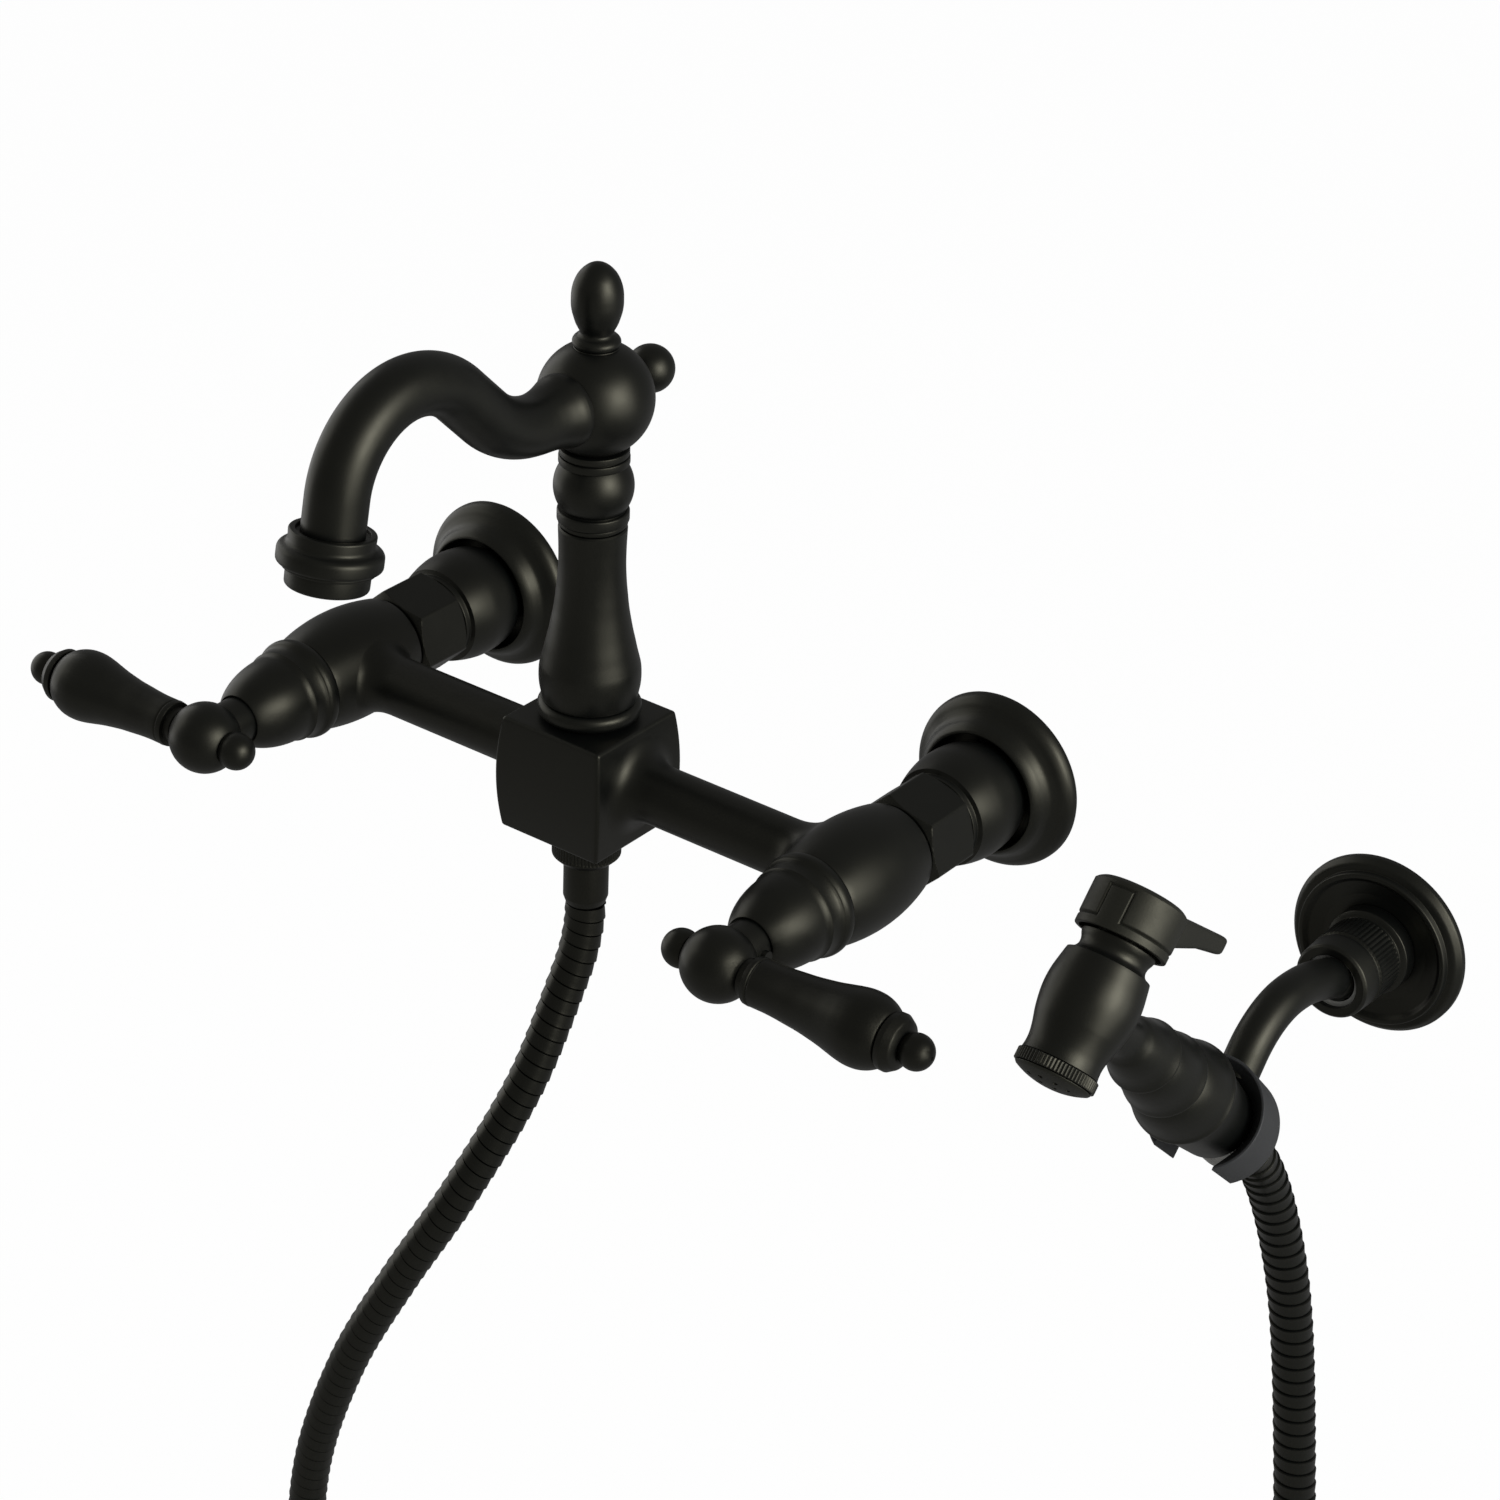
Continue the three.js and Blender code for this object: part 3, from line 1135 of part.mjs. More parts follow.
/** From the parked spray's frame, x along the wall and y down the handle, to the holder's. */
const cradleTurn = (body) => body.rotate([-CRADLE_TILT, 0, 0]).translate([0, SPRAY_AXIS_Y, SPRAY_AXIS_Z]);

/** Radius of the spray's tail cone at a place along the handle. */
function tailRadius(along) {
  const share = (along - TAIL_CONE_START) / (HANDLE_TAIL_END - TAIL_CONE_START);
  return TAIL_CONE_RADIUS + (TAIL_CONE_END_RADIUS - TAIL_CONE_RADIUS) * share;
}

/** The cradle: an open ring with a conical seat for the spray's tail, slotted below for the hose. */
function holderClip() {
  const ring = turned("y", [
    [CLIP_START, tailRadius(CLIP_START) + FIT],
    [CLIP_START, CLIP_OUTER],
    [CLIP_END, CLIP_OUTER - CLIP_TAPER],
    [CLIP_END, TAIL_CONE_END_RADIUS + FIT],
    [HANDLE_TAIL_END, TAIL_CONE_END_RADIUS + FIT],
  ]);
  const slot = new THREE.BoxGeometry(CLIP_SLOT, CLIP_LENGTH + 4, 2 * CLIP_OUTER);
  slot.translate(0, (CLIP_START + CLIP_END) / 2, -CLIP_OUTER);
  return cradleTurn(ring.subtract(solid(slot)));
}

/** The bent arm from its ball to the clip, cut to lie on the clip's outside. */
function holderArm() {
  const tube = piped(holderRoute.path, 16, ARM_TUBE_RADIUS, ROD_SIDES);
  const ball = turned("y", ballArc(0, HOLDER_BALL, -HOLDER_BALL, HOLDER_BALL, 8));
  const arm = tube.add(put(ball, 0, -HOLDER_BALL_REACH, 0));
  const placed = put(arm, 0, 0, -HOLDER_DROP);
  const space = turned("y", [
    [CLIP_START - 20, 0],
    [CLIP_START - 20, CLIP_OUTER + FIT],
    [CLIP_START, CLIP_OUTER + FIT],
    [CLIP_END, CLIP_OUTER - CLIP_TAPER + FIT],
    [CLIP_END + 20, CLIP_OUTER - CLIP_TAPER + FIT],
    [CLIP_END + 20, 0],
  ]);
  return placed.subtract(cradleTurn(space));
}

// ---------------------------------------------------------------- the hand spray, in its own frame

const BODY_TOP = 12.5;
const NECK_TOP = 26;

/** The head: a barrel on the spray axis, a concave neck above it and a socket for the handle. */
function sprayHead() {
  const profile = [
    [SPRAY_RING_TOP + FIT, 0],
    [SPRAY_RING_TOP + FIT, BARREL_SPRAY_RADIUS - 2.5],
    [-14, BARREL_SPRAY_RADIUS - 2.7],
    [-10.2, BARREL_SPRAY_RADIUS - 2.1],
    [-6.8, BARREL_SPRAY_RADIUS - 1.1],
    [-3.2, BARREL_SPRAY_RADIUS - 0.35],
    [1.2, BARREL_SPRAY_RADIUS],
    [6, BARREL_SPRAY_RADIUS - 0.35],
    [11, BARREL_SPRAY_RADIUS - 1.5],
    [12.1, BARREL_SPRAY_RADIUS - 2.6],
    [BODY_TOP, SPRAY_NECK_RADIUS + 0.4],
    [14, SPRAY_NECK_RADIUS - 0.1],
    [15.6, SPRAY_NECK_RADIUS + 0.3],
    [17, SPRAY_NECK_RADIUS + 1.2],
    [17.6, SPRAY_NECK_RADIUS + 1.2],
    [17.6, SPRAY_GUIDE_RADIUS],
    [NECK_TOP, SPRAY_GUIDE_RADIUS],
    [NECK_TOP, 0],
  ];
  let head = turned("z", profile);
  head = head.subtract(rod("z", SPRAY_RING_TOP - 1, -4, 8));
  head = head.subtract(rod("z", -5, NECK_TOP - POCKET_DEPTH + 1, STEM_BORE));
  head = head.subtract(rod("z", NECK_TOP - POCKET_DEPTH, NECK_TOP + 1, SPRING_POCKET));
  head = head.subtract(rod("y", 4, 20, HANDLE_SPIGOT + FIT));
  head = head.subtract(rod("y", NECK_FACE, 20, HANDLE_NECK + 1.2));
  const pinHole = put(rod("x", -LUG_WIDTH, LUG_WIDTH, PIN_RADIUS + FIT, ROD_SIDES), 0, PIVOT_Y, PIVOT_Z);
  const lug = put(rod("x", -LUG_WIDTH / 2, LUG_WIDTH / 2, LUG_RADIUS, ROD_SIDES), 0, PIVOT_Y, PIVOT_Z);
  const reach = -SPRING_POCKET - 0.8 - PIVOT_Y;
  const bar = new THREE.BoxGeometry(LUG_WIDTH, reach, 2 * LUG_RADIUS - 0.6);
  bar.translate(0, PIVOT_Y + reach / 2, PIVOT_Z);
  return head.add(lug).add(solid(bar)).subtract(pinHole);
}

/** The handle: three bells that grow towards the tail, and the tail cone that sits in the cradle. */
function sprayHandle() {
  const bell = ({ from, neck, to, mouth }) => {
    const points = [];
    for (let k = 0; k <= 3; k += 1) {
      const rise = Math.sin((k * Math.PI) / 6) ** 0.9;
      points.push([from + ((to - 0.8 - from) * k) / 3, neck + (mouth - neck) * rise]);
    }
    points.push([to, mouth - 0.7]);
    return points;
  };
  const profile = [
    [5, HANDLE_BORE],
    [5, HANDLE_SPIGOT],
    [NECK_FACE + FIT, HANDLE_SPIGOT],
    [NECK_FACE + FIT, HANDLE_NECK],
    ...BELLS.flatMap(bell),
    [TAIL_CONE_START, TAIL_CONE_RADIUS],
    [HANDLE_TAIL_END, TAIL_CONE_END_RADIUS],
    [HANDLE_TAIL_END, TAIL_SPIGOT],
    [HANDLE_TAIL_END + TAIL_SPIGOT_LENGTH, TAIL_SPIGOT],
    [HANDLE_TAIL_END + TAIL_SPIGOT_LENGTH, HANDLE_BORE],
  ];
  return turned("y", profile);
}

/** The knurled ring that holds the spray face on. */
function sprayRing() {
  return knurled("z", SPRAY_RING_BOTTOM, SPRAY_RING_TOP, SPRAY_RING_RADIUS, FACE_THREAD + FIT);
}

/** The domed spray face with its nozzle holes, and the neck that the ring holds. */
function sprayFace() {
  const edge = 10.9;
  const top = SPRAY_RING_BOTTOM - FIT;
  const dome = [];
  for (let k = 0; k <= 4; k += 1) {
    const share = k / 4;
    dome.push([SPRAY_FACE_BOTTOM + (top - 0.5 - SPRAY_FACE_BOTTOM) * share * share, edge * share]);
  }
  const neck = [[top, edge], [top, FACE_THREAD], [SPRAY_RING_TOP, FACE_THREAD], [SPRAY_RING_TOP, 0]];
  let face = turned("z", [...dome, ...neck]);
  for (const [count, reach] of NOZZLES) {
    for (let k = 0; k < count; k += 1) {
      const angle = (2 * Math.PI * (k + 0.5)) / count;
      const hole = rod("z", SPRAY_FACE_BOTTOM - 1, SPRAY_RING_TOP + 1, NOZZLE_RADIUS, 4);
      face = face.subtract(put(hole, reach * Math.cos(angle), reach * Math.sin(angle), 0));
    }
  }
  return face;
}

const SPRAY_NUT_START = HANDLE_TAIL_END + FIT;
const SPRAY_NUT_END = SPRAY_NUT_START + SPRAY_NUT_LENGTH;
const SPRAY_FERRULE_END = SPRAY_NUT_END + FERRULE_LENGTH;

/** The knurled nut that holds the hose in the handle's tail. */
function sprayNut() {
  const body = knurled("y", SPRAY_NUT_START, SPRAY_NUT_END, SPRAY_NUT_RADIUS, FERRULE_NECK + FIT);
  return body.subtract(rod("y", SPRAY_NUT_START - 1, SPRAY_NUT_END - NUT_FLOOR, TAIL_SPIGOT + FIT));
}

/** The ferrule at the spray's end of the hose. */
function sprayFerrule() {
  const nose = HANDLE_TAIL_END + TAIL_SPIGOT_LENGTH + FIT;
  const profile = [
    [nose, HOSE_BORE],
    [nose, TAIL_SPIGOT],
    [SPRAY_NUT_END - NUT_FLOOR - FIT, TAIL_SPIGOT],
    [SPRAY_NUT_END - NUT_FLOOR - FIT, FERRULE_NECK],
    [SPRAY_NUT_END + FIT, FERRULE_NECK],
    [SPRAY_NUT_END + FIT, FERRULE_RADIUS - 0.3],
    [SPRAY_NUT_END + FIT + 0.7, FERRULE_RADIUS],
    [SPRAY_FERRULE_END - 2, FERRULE_RADIUS],
    [SPRAY_FERRULE_END - 0.6, FERRULE_RADIUS - 0.5],
    [SPRAY_FERRULE_END, FERRULE_RADIUS - 1.1],
    [SPRAY_FERRULE_END, HOSE_BORE],
  ];
  return turned("y", profile);
}

/** The cap and thumb paddle in one moulding: a hollow cup over the neck, hinged on a pin. */
function sprayCap() {
  const outside = [
    [SPRAY_CAP_SKIRT, 0],
    [SPRAY_CAP_SKIRT, SPRAY_CAP_RADIUS],
    [SPRAY_CAP_TOP - 3.4, SPRAY_CAP_RADIUS],
    [SPRAY_CAP_TOP - 1.9, SPRAY_CAP_RADIUS - 0.6],
    [SPRAY_CAP_TOP - 1, SPRAY_CAP_RADIUS - 2],
    [SPRAY_CAP_TOP - 0.3, SPRAY_CAP_RADIUS - 6],
    [SPRAY_CAP_TOP, 0],
  ];
  const tip = SPRAY_CAP_TOP + PADDLE_RISE;
  const side = new THREE.Shape([
    new THREE.Vector2(SPRAY_CAP_RADIUS - 5.2, SPRAY_CAP_TOP - 1.7),
    new THREE.Vector2(SPRAY_CAP_RADIUS - 4.2, SPRAY_CAP_SKIRT + 6),
    new THREE.Vector2(PADDLE_LENGTH, tip - PADDLE_TIP),
    new THREE.Vector2(PADDLE_LENGTH, tip - 1),
    new THREE.Vector2(PADDLE_LENGTH - 3, tip),
  ]);
  const paddle = solid(bladeInPlace(side));
  const hollow = turned("z", [
    [SPRAY_CAP_SKIRT - 1, 0],
    [SPRAY_CAP_SKIRT - 1, SPRAY_CAP_RADIUS - WALL],
    [SPRAY_CAP_TOP - 3.2, SPRAY_CAP_RADIUS - WALL - 0.4],
    [SPRAY_CAP_TOP - 3.2, 0],
  ]);
  const boss = rod("z", STEM_TOP + FIT, SPRAY_CAP_TOP - 2, 3.4, 12);
  let cap = turned("z", outside).add(paddle).subtract(hollow).add(boss);
  const earPlace = LUG_WIDTH / 2 + 0.5 + EAR_WIDTH / 2;
  const earHeight = SPRAY_CAP_TOP - 2 - PIVOT_Z;
  for (const x of [-earPlace, earPlace]) {
    const ear = rod("x", x - EAR_WIDTH / 2, x + EAR_WIDTH / 2, LUG_RADIUS, ROD_SIDES);
    const web = new THREE.BoxGeometry(EAR_WIDTH, 3.2, earHeight).translate(x, 0, earHeight / 2);
    cap = cap.add(put(ear.add(solid(web)), 0, PIVOT_Y, PIVOT_Z));
  }
  const pinReach = earPlace + EAR_WIDTH / 2 + 0.6;
  return cap.subtract(put(rod("x", -pinReach, pinReach, PIN_RADIUS + FIT, ROD_SIDES), 0, PIVOT_Y, PIVOT_Z));
}

/** The paddle's side outline, drawn in y and z, given its width along x. */
function bladeInPlace(side) {
  const blade = new THREE.ExtrudeGeometry(side, { depth: PADDLE_WIDTH, bevelEnabled: false, steps: 1 });
  const toSide = new THREE.Matrix4().set(0, 0, 1, -PADDLE_WIDTH / 2, 1, 0, 0, 0, 0, 1, 0, 0, 0, 0, 0, 1);
  return blade.applyMatrix4(toSide);
}

/** The hinge pin of the cap. */
function capPin() {
  const half = LUG_WIDTH / 2 + EAR_WIDTH;
  return put(rod("x", -half, half, PIN_RADIUS, ROD_SIDES), 0, PIVOT_Y, PIVOT_Z);
}

const STEM_TOP = NECK_TOP + STEM_HEAD_LIFT + 1.2;

/** The spray's valve stem: a rod with a head under the cap and a disc below. */
function sprayStem() {
  return turned("z", [
    [-2, 0],
    [-2, STEM_BORE - FIT],
    [NECK_TOP + STEM_HEAD_LIFT, STEM_BORE - FIT],
    [NECK_TOP + STEM_HEAD_LIFT, STEM_HEAD],
    [STEM_TOP, STEM_HEAD],
    [STEM_TOP, 0],
  ]);
}

/** The coil spring under the stem's head. */
function spraySpring() {
  const low = NECK_TOP - POCKET_DEPTH + WIRE_RADIUS + FIT;
  const high = NECK_TOP + STEM_HEAD_LIFT - STEM_TRAVEL - WIRE_RADIUS - FIT;
  const points = [];
  for (let k = 0; k <= 10 * COILS; k += 1) {
    const angle = (2 * Math.PI * k) / 10;
    const height = low + ((high - low) * k) / (10 * COILS);
    points.push(new THREE.Vector3(COIL_RADIUS * Math.cos(angle), COIL_RADIUS * Math.sin(angle), height));
  }
  return piped(new THREE.CatmullRomCurve3(points), 8 * COILS, WIRE_RADIUS, 5);
}

// ---------------------------------------------------------------- assembly

const faucet = new THREE.Group();
faucet.add(piece("bridge_body", bridgeBody(), BLACK));

for (const [side, sign] of [["left", -1], ["right", 1]]) {
  const valve = new THREE.Group();
  valve.position.x = sign * HALF_SPREAD;
  valve.add(piece(`wall_flange_${side}`, wallFlange(), BLACK));
  valve.add(piece(`wall_coupling_${side}`, wallCoupling(), BLACK));
  valve.add(piece(`union_nut_${side}`, unionNut(), BLACK));
  valve.add(piece(`union_washer_${side}`, unionWasher(), RUBBER));
  valve.add(piece(`cartridge_${side}`, cartridge(), BRASS));
  valve.add(piece(`bonnet_${side}`, bonnet(), BLACK));
  valve.add(piece(`valve_stem_${side}`, valveStem(), BRASS));

  const handle = new THREE.Group();
  if (sign < 0) handle.rotation.y = Math.PI;
  handle.add(piece(`handle_hub_${side}`, handleHub(), BLACK));
  handle.add(piece(`set_screw_${side}`, setScrew(), STEEL));
  handle.add(piece(`lever_grip_${side}`, leverGrip(), BLACK));
  handle.add(piece(`lever_washer_${side}`, leverWasher(), BLACK));
  handle.add(piece(`lever_tip_${side}`, leverTip(), BLACK));
  handle.add(piece(`counter_ball_${side}`, counterBall(), BLACK));
  valve.add(handle);
  faucet.add(valve);
}

const column = new THREE.Group();
column.position.y = -BRIDGE_REACH;
column.add(piece("spout_nut", spoutNut(), BLACK));
column.add(piece("spout_column", spoutColumn(), BLACK));
column.add(piece("spout_seal", spoutSeal(), RUBBER));
column.add(piece("spout_knuckle", spoutKnuckle(), BLACK));
column.add(piece("spout_hub", spoutHub(), BLACK));
column.add(piece("hub_finial", hubFinial(), BLACK));
column.add(piece("hub_knob", hubKnob(), BLACK));
column.add(piece("spout_tube", spoutTube(), BLACK));
column.add(piece("diverter", diverter(), BRASS));
column.add(piece("hose_nut", hoseNut(), BLACK));
column.add(piece("hose_ferrule", hoseFerrule(), BLACK));
column.add(piece("hose_washer", hoseWasher(), RUBBER));

const outlet = new THREE.Group();
outlet.position.copy(spoutRoute.end);
outlet.rotation.x = -radians(OUTLET_TILT);
outlet.add(piece("outlet_collar", outletCollar(), BLACK));
outlet.add(piece("aerator_shell", aeratorShell(), BLACK));
outlet.add(piece("aerator_screen", aeratorScreen(), PLASTIC));
column.add(outlet);
faucet.add(column);

faucet.add(piece("hose", hose(), HOSE_METAL));

const holder = new THREE.Group();
holder.position.set(HOLDER_OFFSET, 0, -HOLDER_DROP);
holder.add(piece("holder_bracket", holderBracket(), STEEL));
holder.add(piece("holder_plate", holderPlate(), BLACK));
holder.add(piece("holder_collar", holderCollar(), BLACK));
holder.add(piece("holder_bush", holderBush(), PLASTIC));
faucet.add(holder);

const cradle = new THREE.Group();
cradle.position.x = HOLDER_OFFSET;
cradle.add(piece("holder_arm", holderArm(), BLACK));
cradle.add(piece("holder_clip", holderClip(), PLASTIC));
faucet.add(cradle);

const spray = new THREE.Group();
spray.position.set(HOLDER_OFFSET, SPRAY_AXIS_Y, SPRAY_AXIS_Z);
spray.rotation.x = -radians(CRADLE_TILT);
spray.add(piece("spray_head", sprayHead(), BLACK));
spray.add(piece("spray_handle", sprayHandle(), BLACK));
spray.add(piece("spray_ring", sprayRing(), BLACK));
spray.add(piece("spray_face", sprayFace(), PLASTIC));
spray.add(piece("spray_nut", sprayNut(), STEEL));
spray.add(piece("spray_ferrule", sprayFerrule(), BLACK));
spray.add(piece("spray_cap", sprayCap(), PLASTIC));
spray.add(piece("cap_pin", capPin(), STEEL));
spray.add(piece("spray_stem", sprayStem(), BRASS));
spray.add(piece("spray_spring", spraySpring(), STEEL));
faucet.add(spray);

export default faucet;
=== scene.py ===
import logging
import math
from collections.abc import Callable, Sequence
from dataclasses import dataclass
from enum import Enum
from functools import cache

import bmesh
import bpy
import numpy as np
from mathutils import Matrix, Vector


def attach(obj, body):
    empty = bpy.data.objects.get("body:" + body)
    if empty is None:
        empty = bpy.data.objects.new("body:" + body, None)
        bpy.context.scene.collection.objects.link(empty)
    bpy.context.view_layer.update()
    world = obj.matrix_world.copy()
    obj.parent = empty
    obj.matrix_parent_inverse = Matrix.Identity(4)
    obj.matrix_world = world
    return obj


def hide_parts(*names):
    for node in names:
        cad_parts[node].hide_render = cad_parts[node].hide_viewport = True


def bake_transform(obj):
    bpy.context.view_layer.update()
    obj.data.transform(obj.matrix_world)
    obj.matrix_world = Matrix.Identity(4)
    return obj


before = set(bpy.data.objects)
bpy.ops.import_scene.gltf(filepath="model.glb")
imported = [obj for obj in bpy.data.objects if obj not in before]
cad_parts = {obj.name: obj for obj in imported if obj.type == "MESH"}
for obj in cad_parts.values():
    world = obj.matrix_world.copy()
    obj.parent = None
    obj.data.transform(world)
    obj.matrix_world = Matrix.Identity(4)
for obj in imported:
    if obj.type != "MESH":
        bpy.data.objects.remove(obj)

LOG = logging.getLogger("faucet")
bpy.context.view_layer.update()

MM = 0.001  # every size in the classes is in millimetres; the meshes are in metres
TAU = 2 * math.pi
HALF_SPREAD = 101.6  # from the spout's axis to a valve's
AXIS_REACH = 78.9  # from the wall to the spout's axis
MOST_OF_STRETCH = 0.49  # the share of a straight stretch that the arc at one of its ends may take up
SAME_SPOT = 2e-6  # metres; points closer than this are merged

Array = np.ndarray
Pair = tuple[float, float]
Point = tuple[float, float, float]
Corner = tuple[float, float, float]  # along, radius, fillet
Surface = Callable[[Array], Array]
Relief = Callable[[Array, Array, Array], tuple[Array, Array]]


# ---------------- outlines


def ring_angles(count: int = 96, dense: Sequence[float] = (), spread: float = 2.0, extra: int = 9) -> Array:
    """Angles round a turned piece: evenly spaced, with more of them near given places.

    Args:
        count: how many even steps make the turn.
        dense: places in degrees that need a finer step.
        spread: how far either side of such a place the finer step reaches, in degrees.
        extra: how many angles each such place gets.

    Returns:
        Rising angles in radians, from 0 to a full turn, without the end.
    """
    even = np.linspace(0, TAU, count, endpoint=False)
    near = np.radians(np.asarray(dense, float)[:, None] + np.linspace(-spread, spread, extra)[None, :])
    return np.unique(np.round(np.concatenate([even, near.ravel() % TAU]), 6))


def without_repeats(points: Array, gap: float = 1e-4) -> Array:
    """The points of a line without those that lie on the one before."""
    step = np.linalg.norm(np.diff(points, axis=0), axis=1)
    return points[np.concatenate([[True], step > gap])]


def rounded(corners: Sequence[Corner], loop: bool = False, steps: int = 6) -> Array:
    """A line of straight stretches whose corners are rounded by circular arcs.

    Each arc touches both of its stretches: it starts a setback of size over tan(half the corner's angle)
    from the corner, and its points come from turning the first touching radius into the second.

    Args:
        corners: (along, radius, fillet) of each corner.
        loop: whether the last stretch leads back to the first corner.
        steps: points on each arc.

    Returns:
        The points as (along, radius) rows.
    """
    table = np.asarray(corners, float)
    if loop:
        table = np.concatenate([table[-1:], table, table[:1]])
    spots, sizes = table[:, :2], table[1:-1, 2]
    at = spots[1:-1]
    back, ahead = spots[:-2] - at, spots[2:] - at
    back_length = np.linalg.norm(back, axis=1, keepdims=True)
    ahead_length = np.linalg.norm(ahead, axis=1, keepdims=True)
    back, ahead = back / back_length, ahead / ahead_length
    half = 0.5 * np.arccos(np.clip((back * ahead).sum(axis=1), -1, 1))
    room = MOST_OF_STRETCH * np.minimum(back_length, ahead_length)[:, 0] * np.tan(half)
    size = np.minimum(sizes, room)
    bent = (size > 1e-5) & (half < math.pi / 2 - 1e-3)
    half = np.where(bent, half, math.pi / 4)[:, None]
    size = np.where(bent, size, 0.0)[:, None]
    middle = back + ahead
    middle = middle / np.maximum(np.linalg.norm(middle, axis=1, keepdims=True), 1e-9)
    centre = at + middle * size / np.sin(half)
    first = at + back * size / np.tan(half) - centre
    last = at + ahead * size / np.tan(half) - centre
    turn = math.pi - 2 * half
    share = np.linspace(0, 1, steps)[None, :]
    weights = np.sin((1 - share) * turn) / np.sin(turn), np.sin(share * turn) / np.sin(turn)
    spokes = weights[0][..., None] * first[:, None, :] + weights[1][..., None] * last[:, None, :]
    arcs = centre[:, None, :] + spokes
    arcs = np.where(bent[:, None, None], arcs, at[:, None, :]).reshape(-1, 2)
    line = arcs if loop else np.concatenate([spots[:1], arcs, spots[-1:]])
    return without_repeats(line)


def through(points: Sequence[Sequence[float]] | Array, per_span: int = 6) -> Array:
    """A smooth line through points: a centripetal Catmull-Rom curve.

    Each span is the cubic whose ends and slopes match its two points, with the slopes taken from the
    neighbours at steps of the square root of their distances, and the ends reflected.

    Args:
        points: the points, in two or three dimensions.
        per_span: how many points each span gets.

    Returns:
        The curve's points, the given ones among them.
    """
    given = np.asarray(points, float)
    ends = 2 * given[:1] - given[1:2], 2 * given[-1:] - given[-2:-1]
    row = np.concatenate([ends[0], given, ends[1]])
    step = np.sqrt(np.linalg.norm(np.diff(row, axis=0), axis=1))[:, None]
    before, mid, after = step[:-2], step[1:-1], step[2:]
    a, b, c, d = row[:-3], row[1:-2], row[2:-1], row[3:]
    slope_b = ((b - a) / before - (c - a) / (before + mid) + (c - b) / mid) * mid
    slope_c = ((c - b) / mid - (d - b) / (mid + after) + (d - c) / after) * mid
    t = (np.arange(per_span) / per_span)[None, :, None]
    b, c, slope_b, slope_c = (part[:, None, :] for part in (b, c, slope_b, slope_c))
    cubic = 2 * t**3 - 3 * t**2 + 1, t**3 - 2 * t**2 + t, -2 * t**3 + 3 * t**2, t**3 - t**2
    spans = cubic[0] * b + cubic[1] * slope_b + cubic[2] * c + cubic[3] * slope_c
    return np.concatenate([spans.reshape(-1, given.shape[1]), given[-1:]])


def run_along(line: Array) -> Array:
    """How far along a line each of its points lies."""
    return np.concatenate([[0], np.cumsum(np.linalg.norm(np.diff(line, axis=0), axis=1))])


def resampled(rows: Array, run: Array, at: Array) -> Array:
    """Rows of three values that belong to the distances run, read between them at other distances."""
    return np.stack([np.interp(at, run, rows[:, axis]) for axis in range(3)], axis=-1)


def level(start: float, end: float, radius: float, count: int) -> Array:
    """An even row of points at one radius."""
    return np.column_stack([np.linspace(start, end, count), np.full(count, radius)])


def ball_line(centre: float, size: float, start: float, end: float, count: int = 24) -> Array:
    """The outline of a ball between two places along its axis, at even steps of angle."""
    angles = np.arccos(np.clip((centre - np.array([start, end])) / size, -1, 1))
    sweep = np.linspace(angles[0], angles[1], count)
    return np.column_stack([centre - size * np.cos(sweep), size * np.sin(sweep)])


def outline(*parts: Sequence[Sequence[float]] | Array) -> Array:
    """Stretches of an outline, one after the other, as (along, radius) rows."""
    return without_repeats(np.concatenate([np.asarray(part, float)[:, :2] for part in parts]))


def route(start: Pair, heading: float, steps: Sequence[Pair], gap: float = 1.0) -> Array:
    """A flat line of straights and arcs, each leaving in the direction in which the last arrived.

    Args:
        start: where it begins.
        heading: its first direction in degrees, upwards positive.
        steps: (length, 0) for a straight, or (bend radius, turn in degrees) for an arc.
        gap: rough spacing of the points.

    Returns:
        The points, in the plane.
    """
    here, angle, parts = np.array(start, float), math.radians(heading), [np.array([start], float)]
    for size, turn in steps:
        swing = math.radians(turn)
        reach = size * abs(swing) if turn else size
        share = np.linspace(0, 1, max(2, round(reach / gap)) + 1)[1:, None]
        if turn:
            side = math.copysign(math.pi / 2, turn)
            centre = here + size * np.array([math.cos(angle + side), math.sin(angle + side)])
            sweep = angle - side + swing * share
            part = centre + size * np.concatenate([np.cos(sweep), np.sin(sweep)], axis=1)
        else:
            part = here + size * share * np.array([math.cos(angle), math.sin(angle)])
        parts.append(part)
        here, angle = part[-1], angle + swing
    return np.concatenate(parts)


# ---------------- closed forms


NO_FANS = np.zeros((0, 3), int)


@dataclass(frozen=True)
class Place:
    """Where a piece stands and how it is turned.

    Its third direction is the cross product of the first two.
    """

    origin: Point
    along: Point
    side: Point = (1.0, 0.0, 0.0)

    def world(self, local: Array) -> Array:
        """Points given as (along, side, third) rows, in the frame's own directions."""
        along, side = np.array(self.along), np.array(self.side)
        return np.array(self.origin) + local @ np.stack([along, side, np.cross(along, side)])


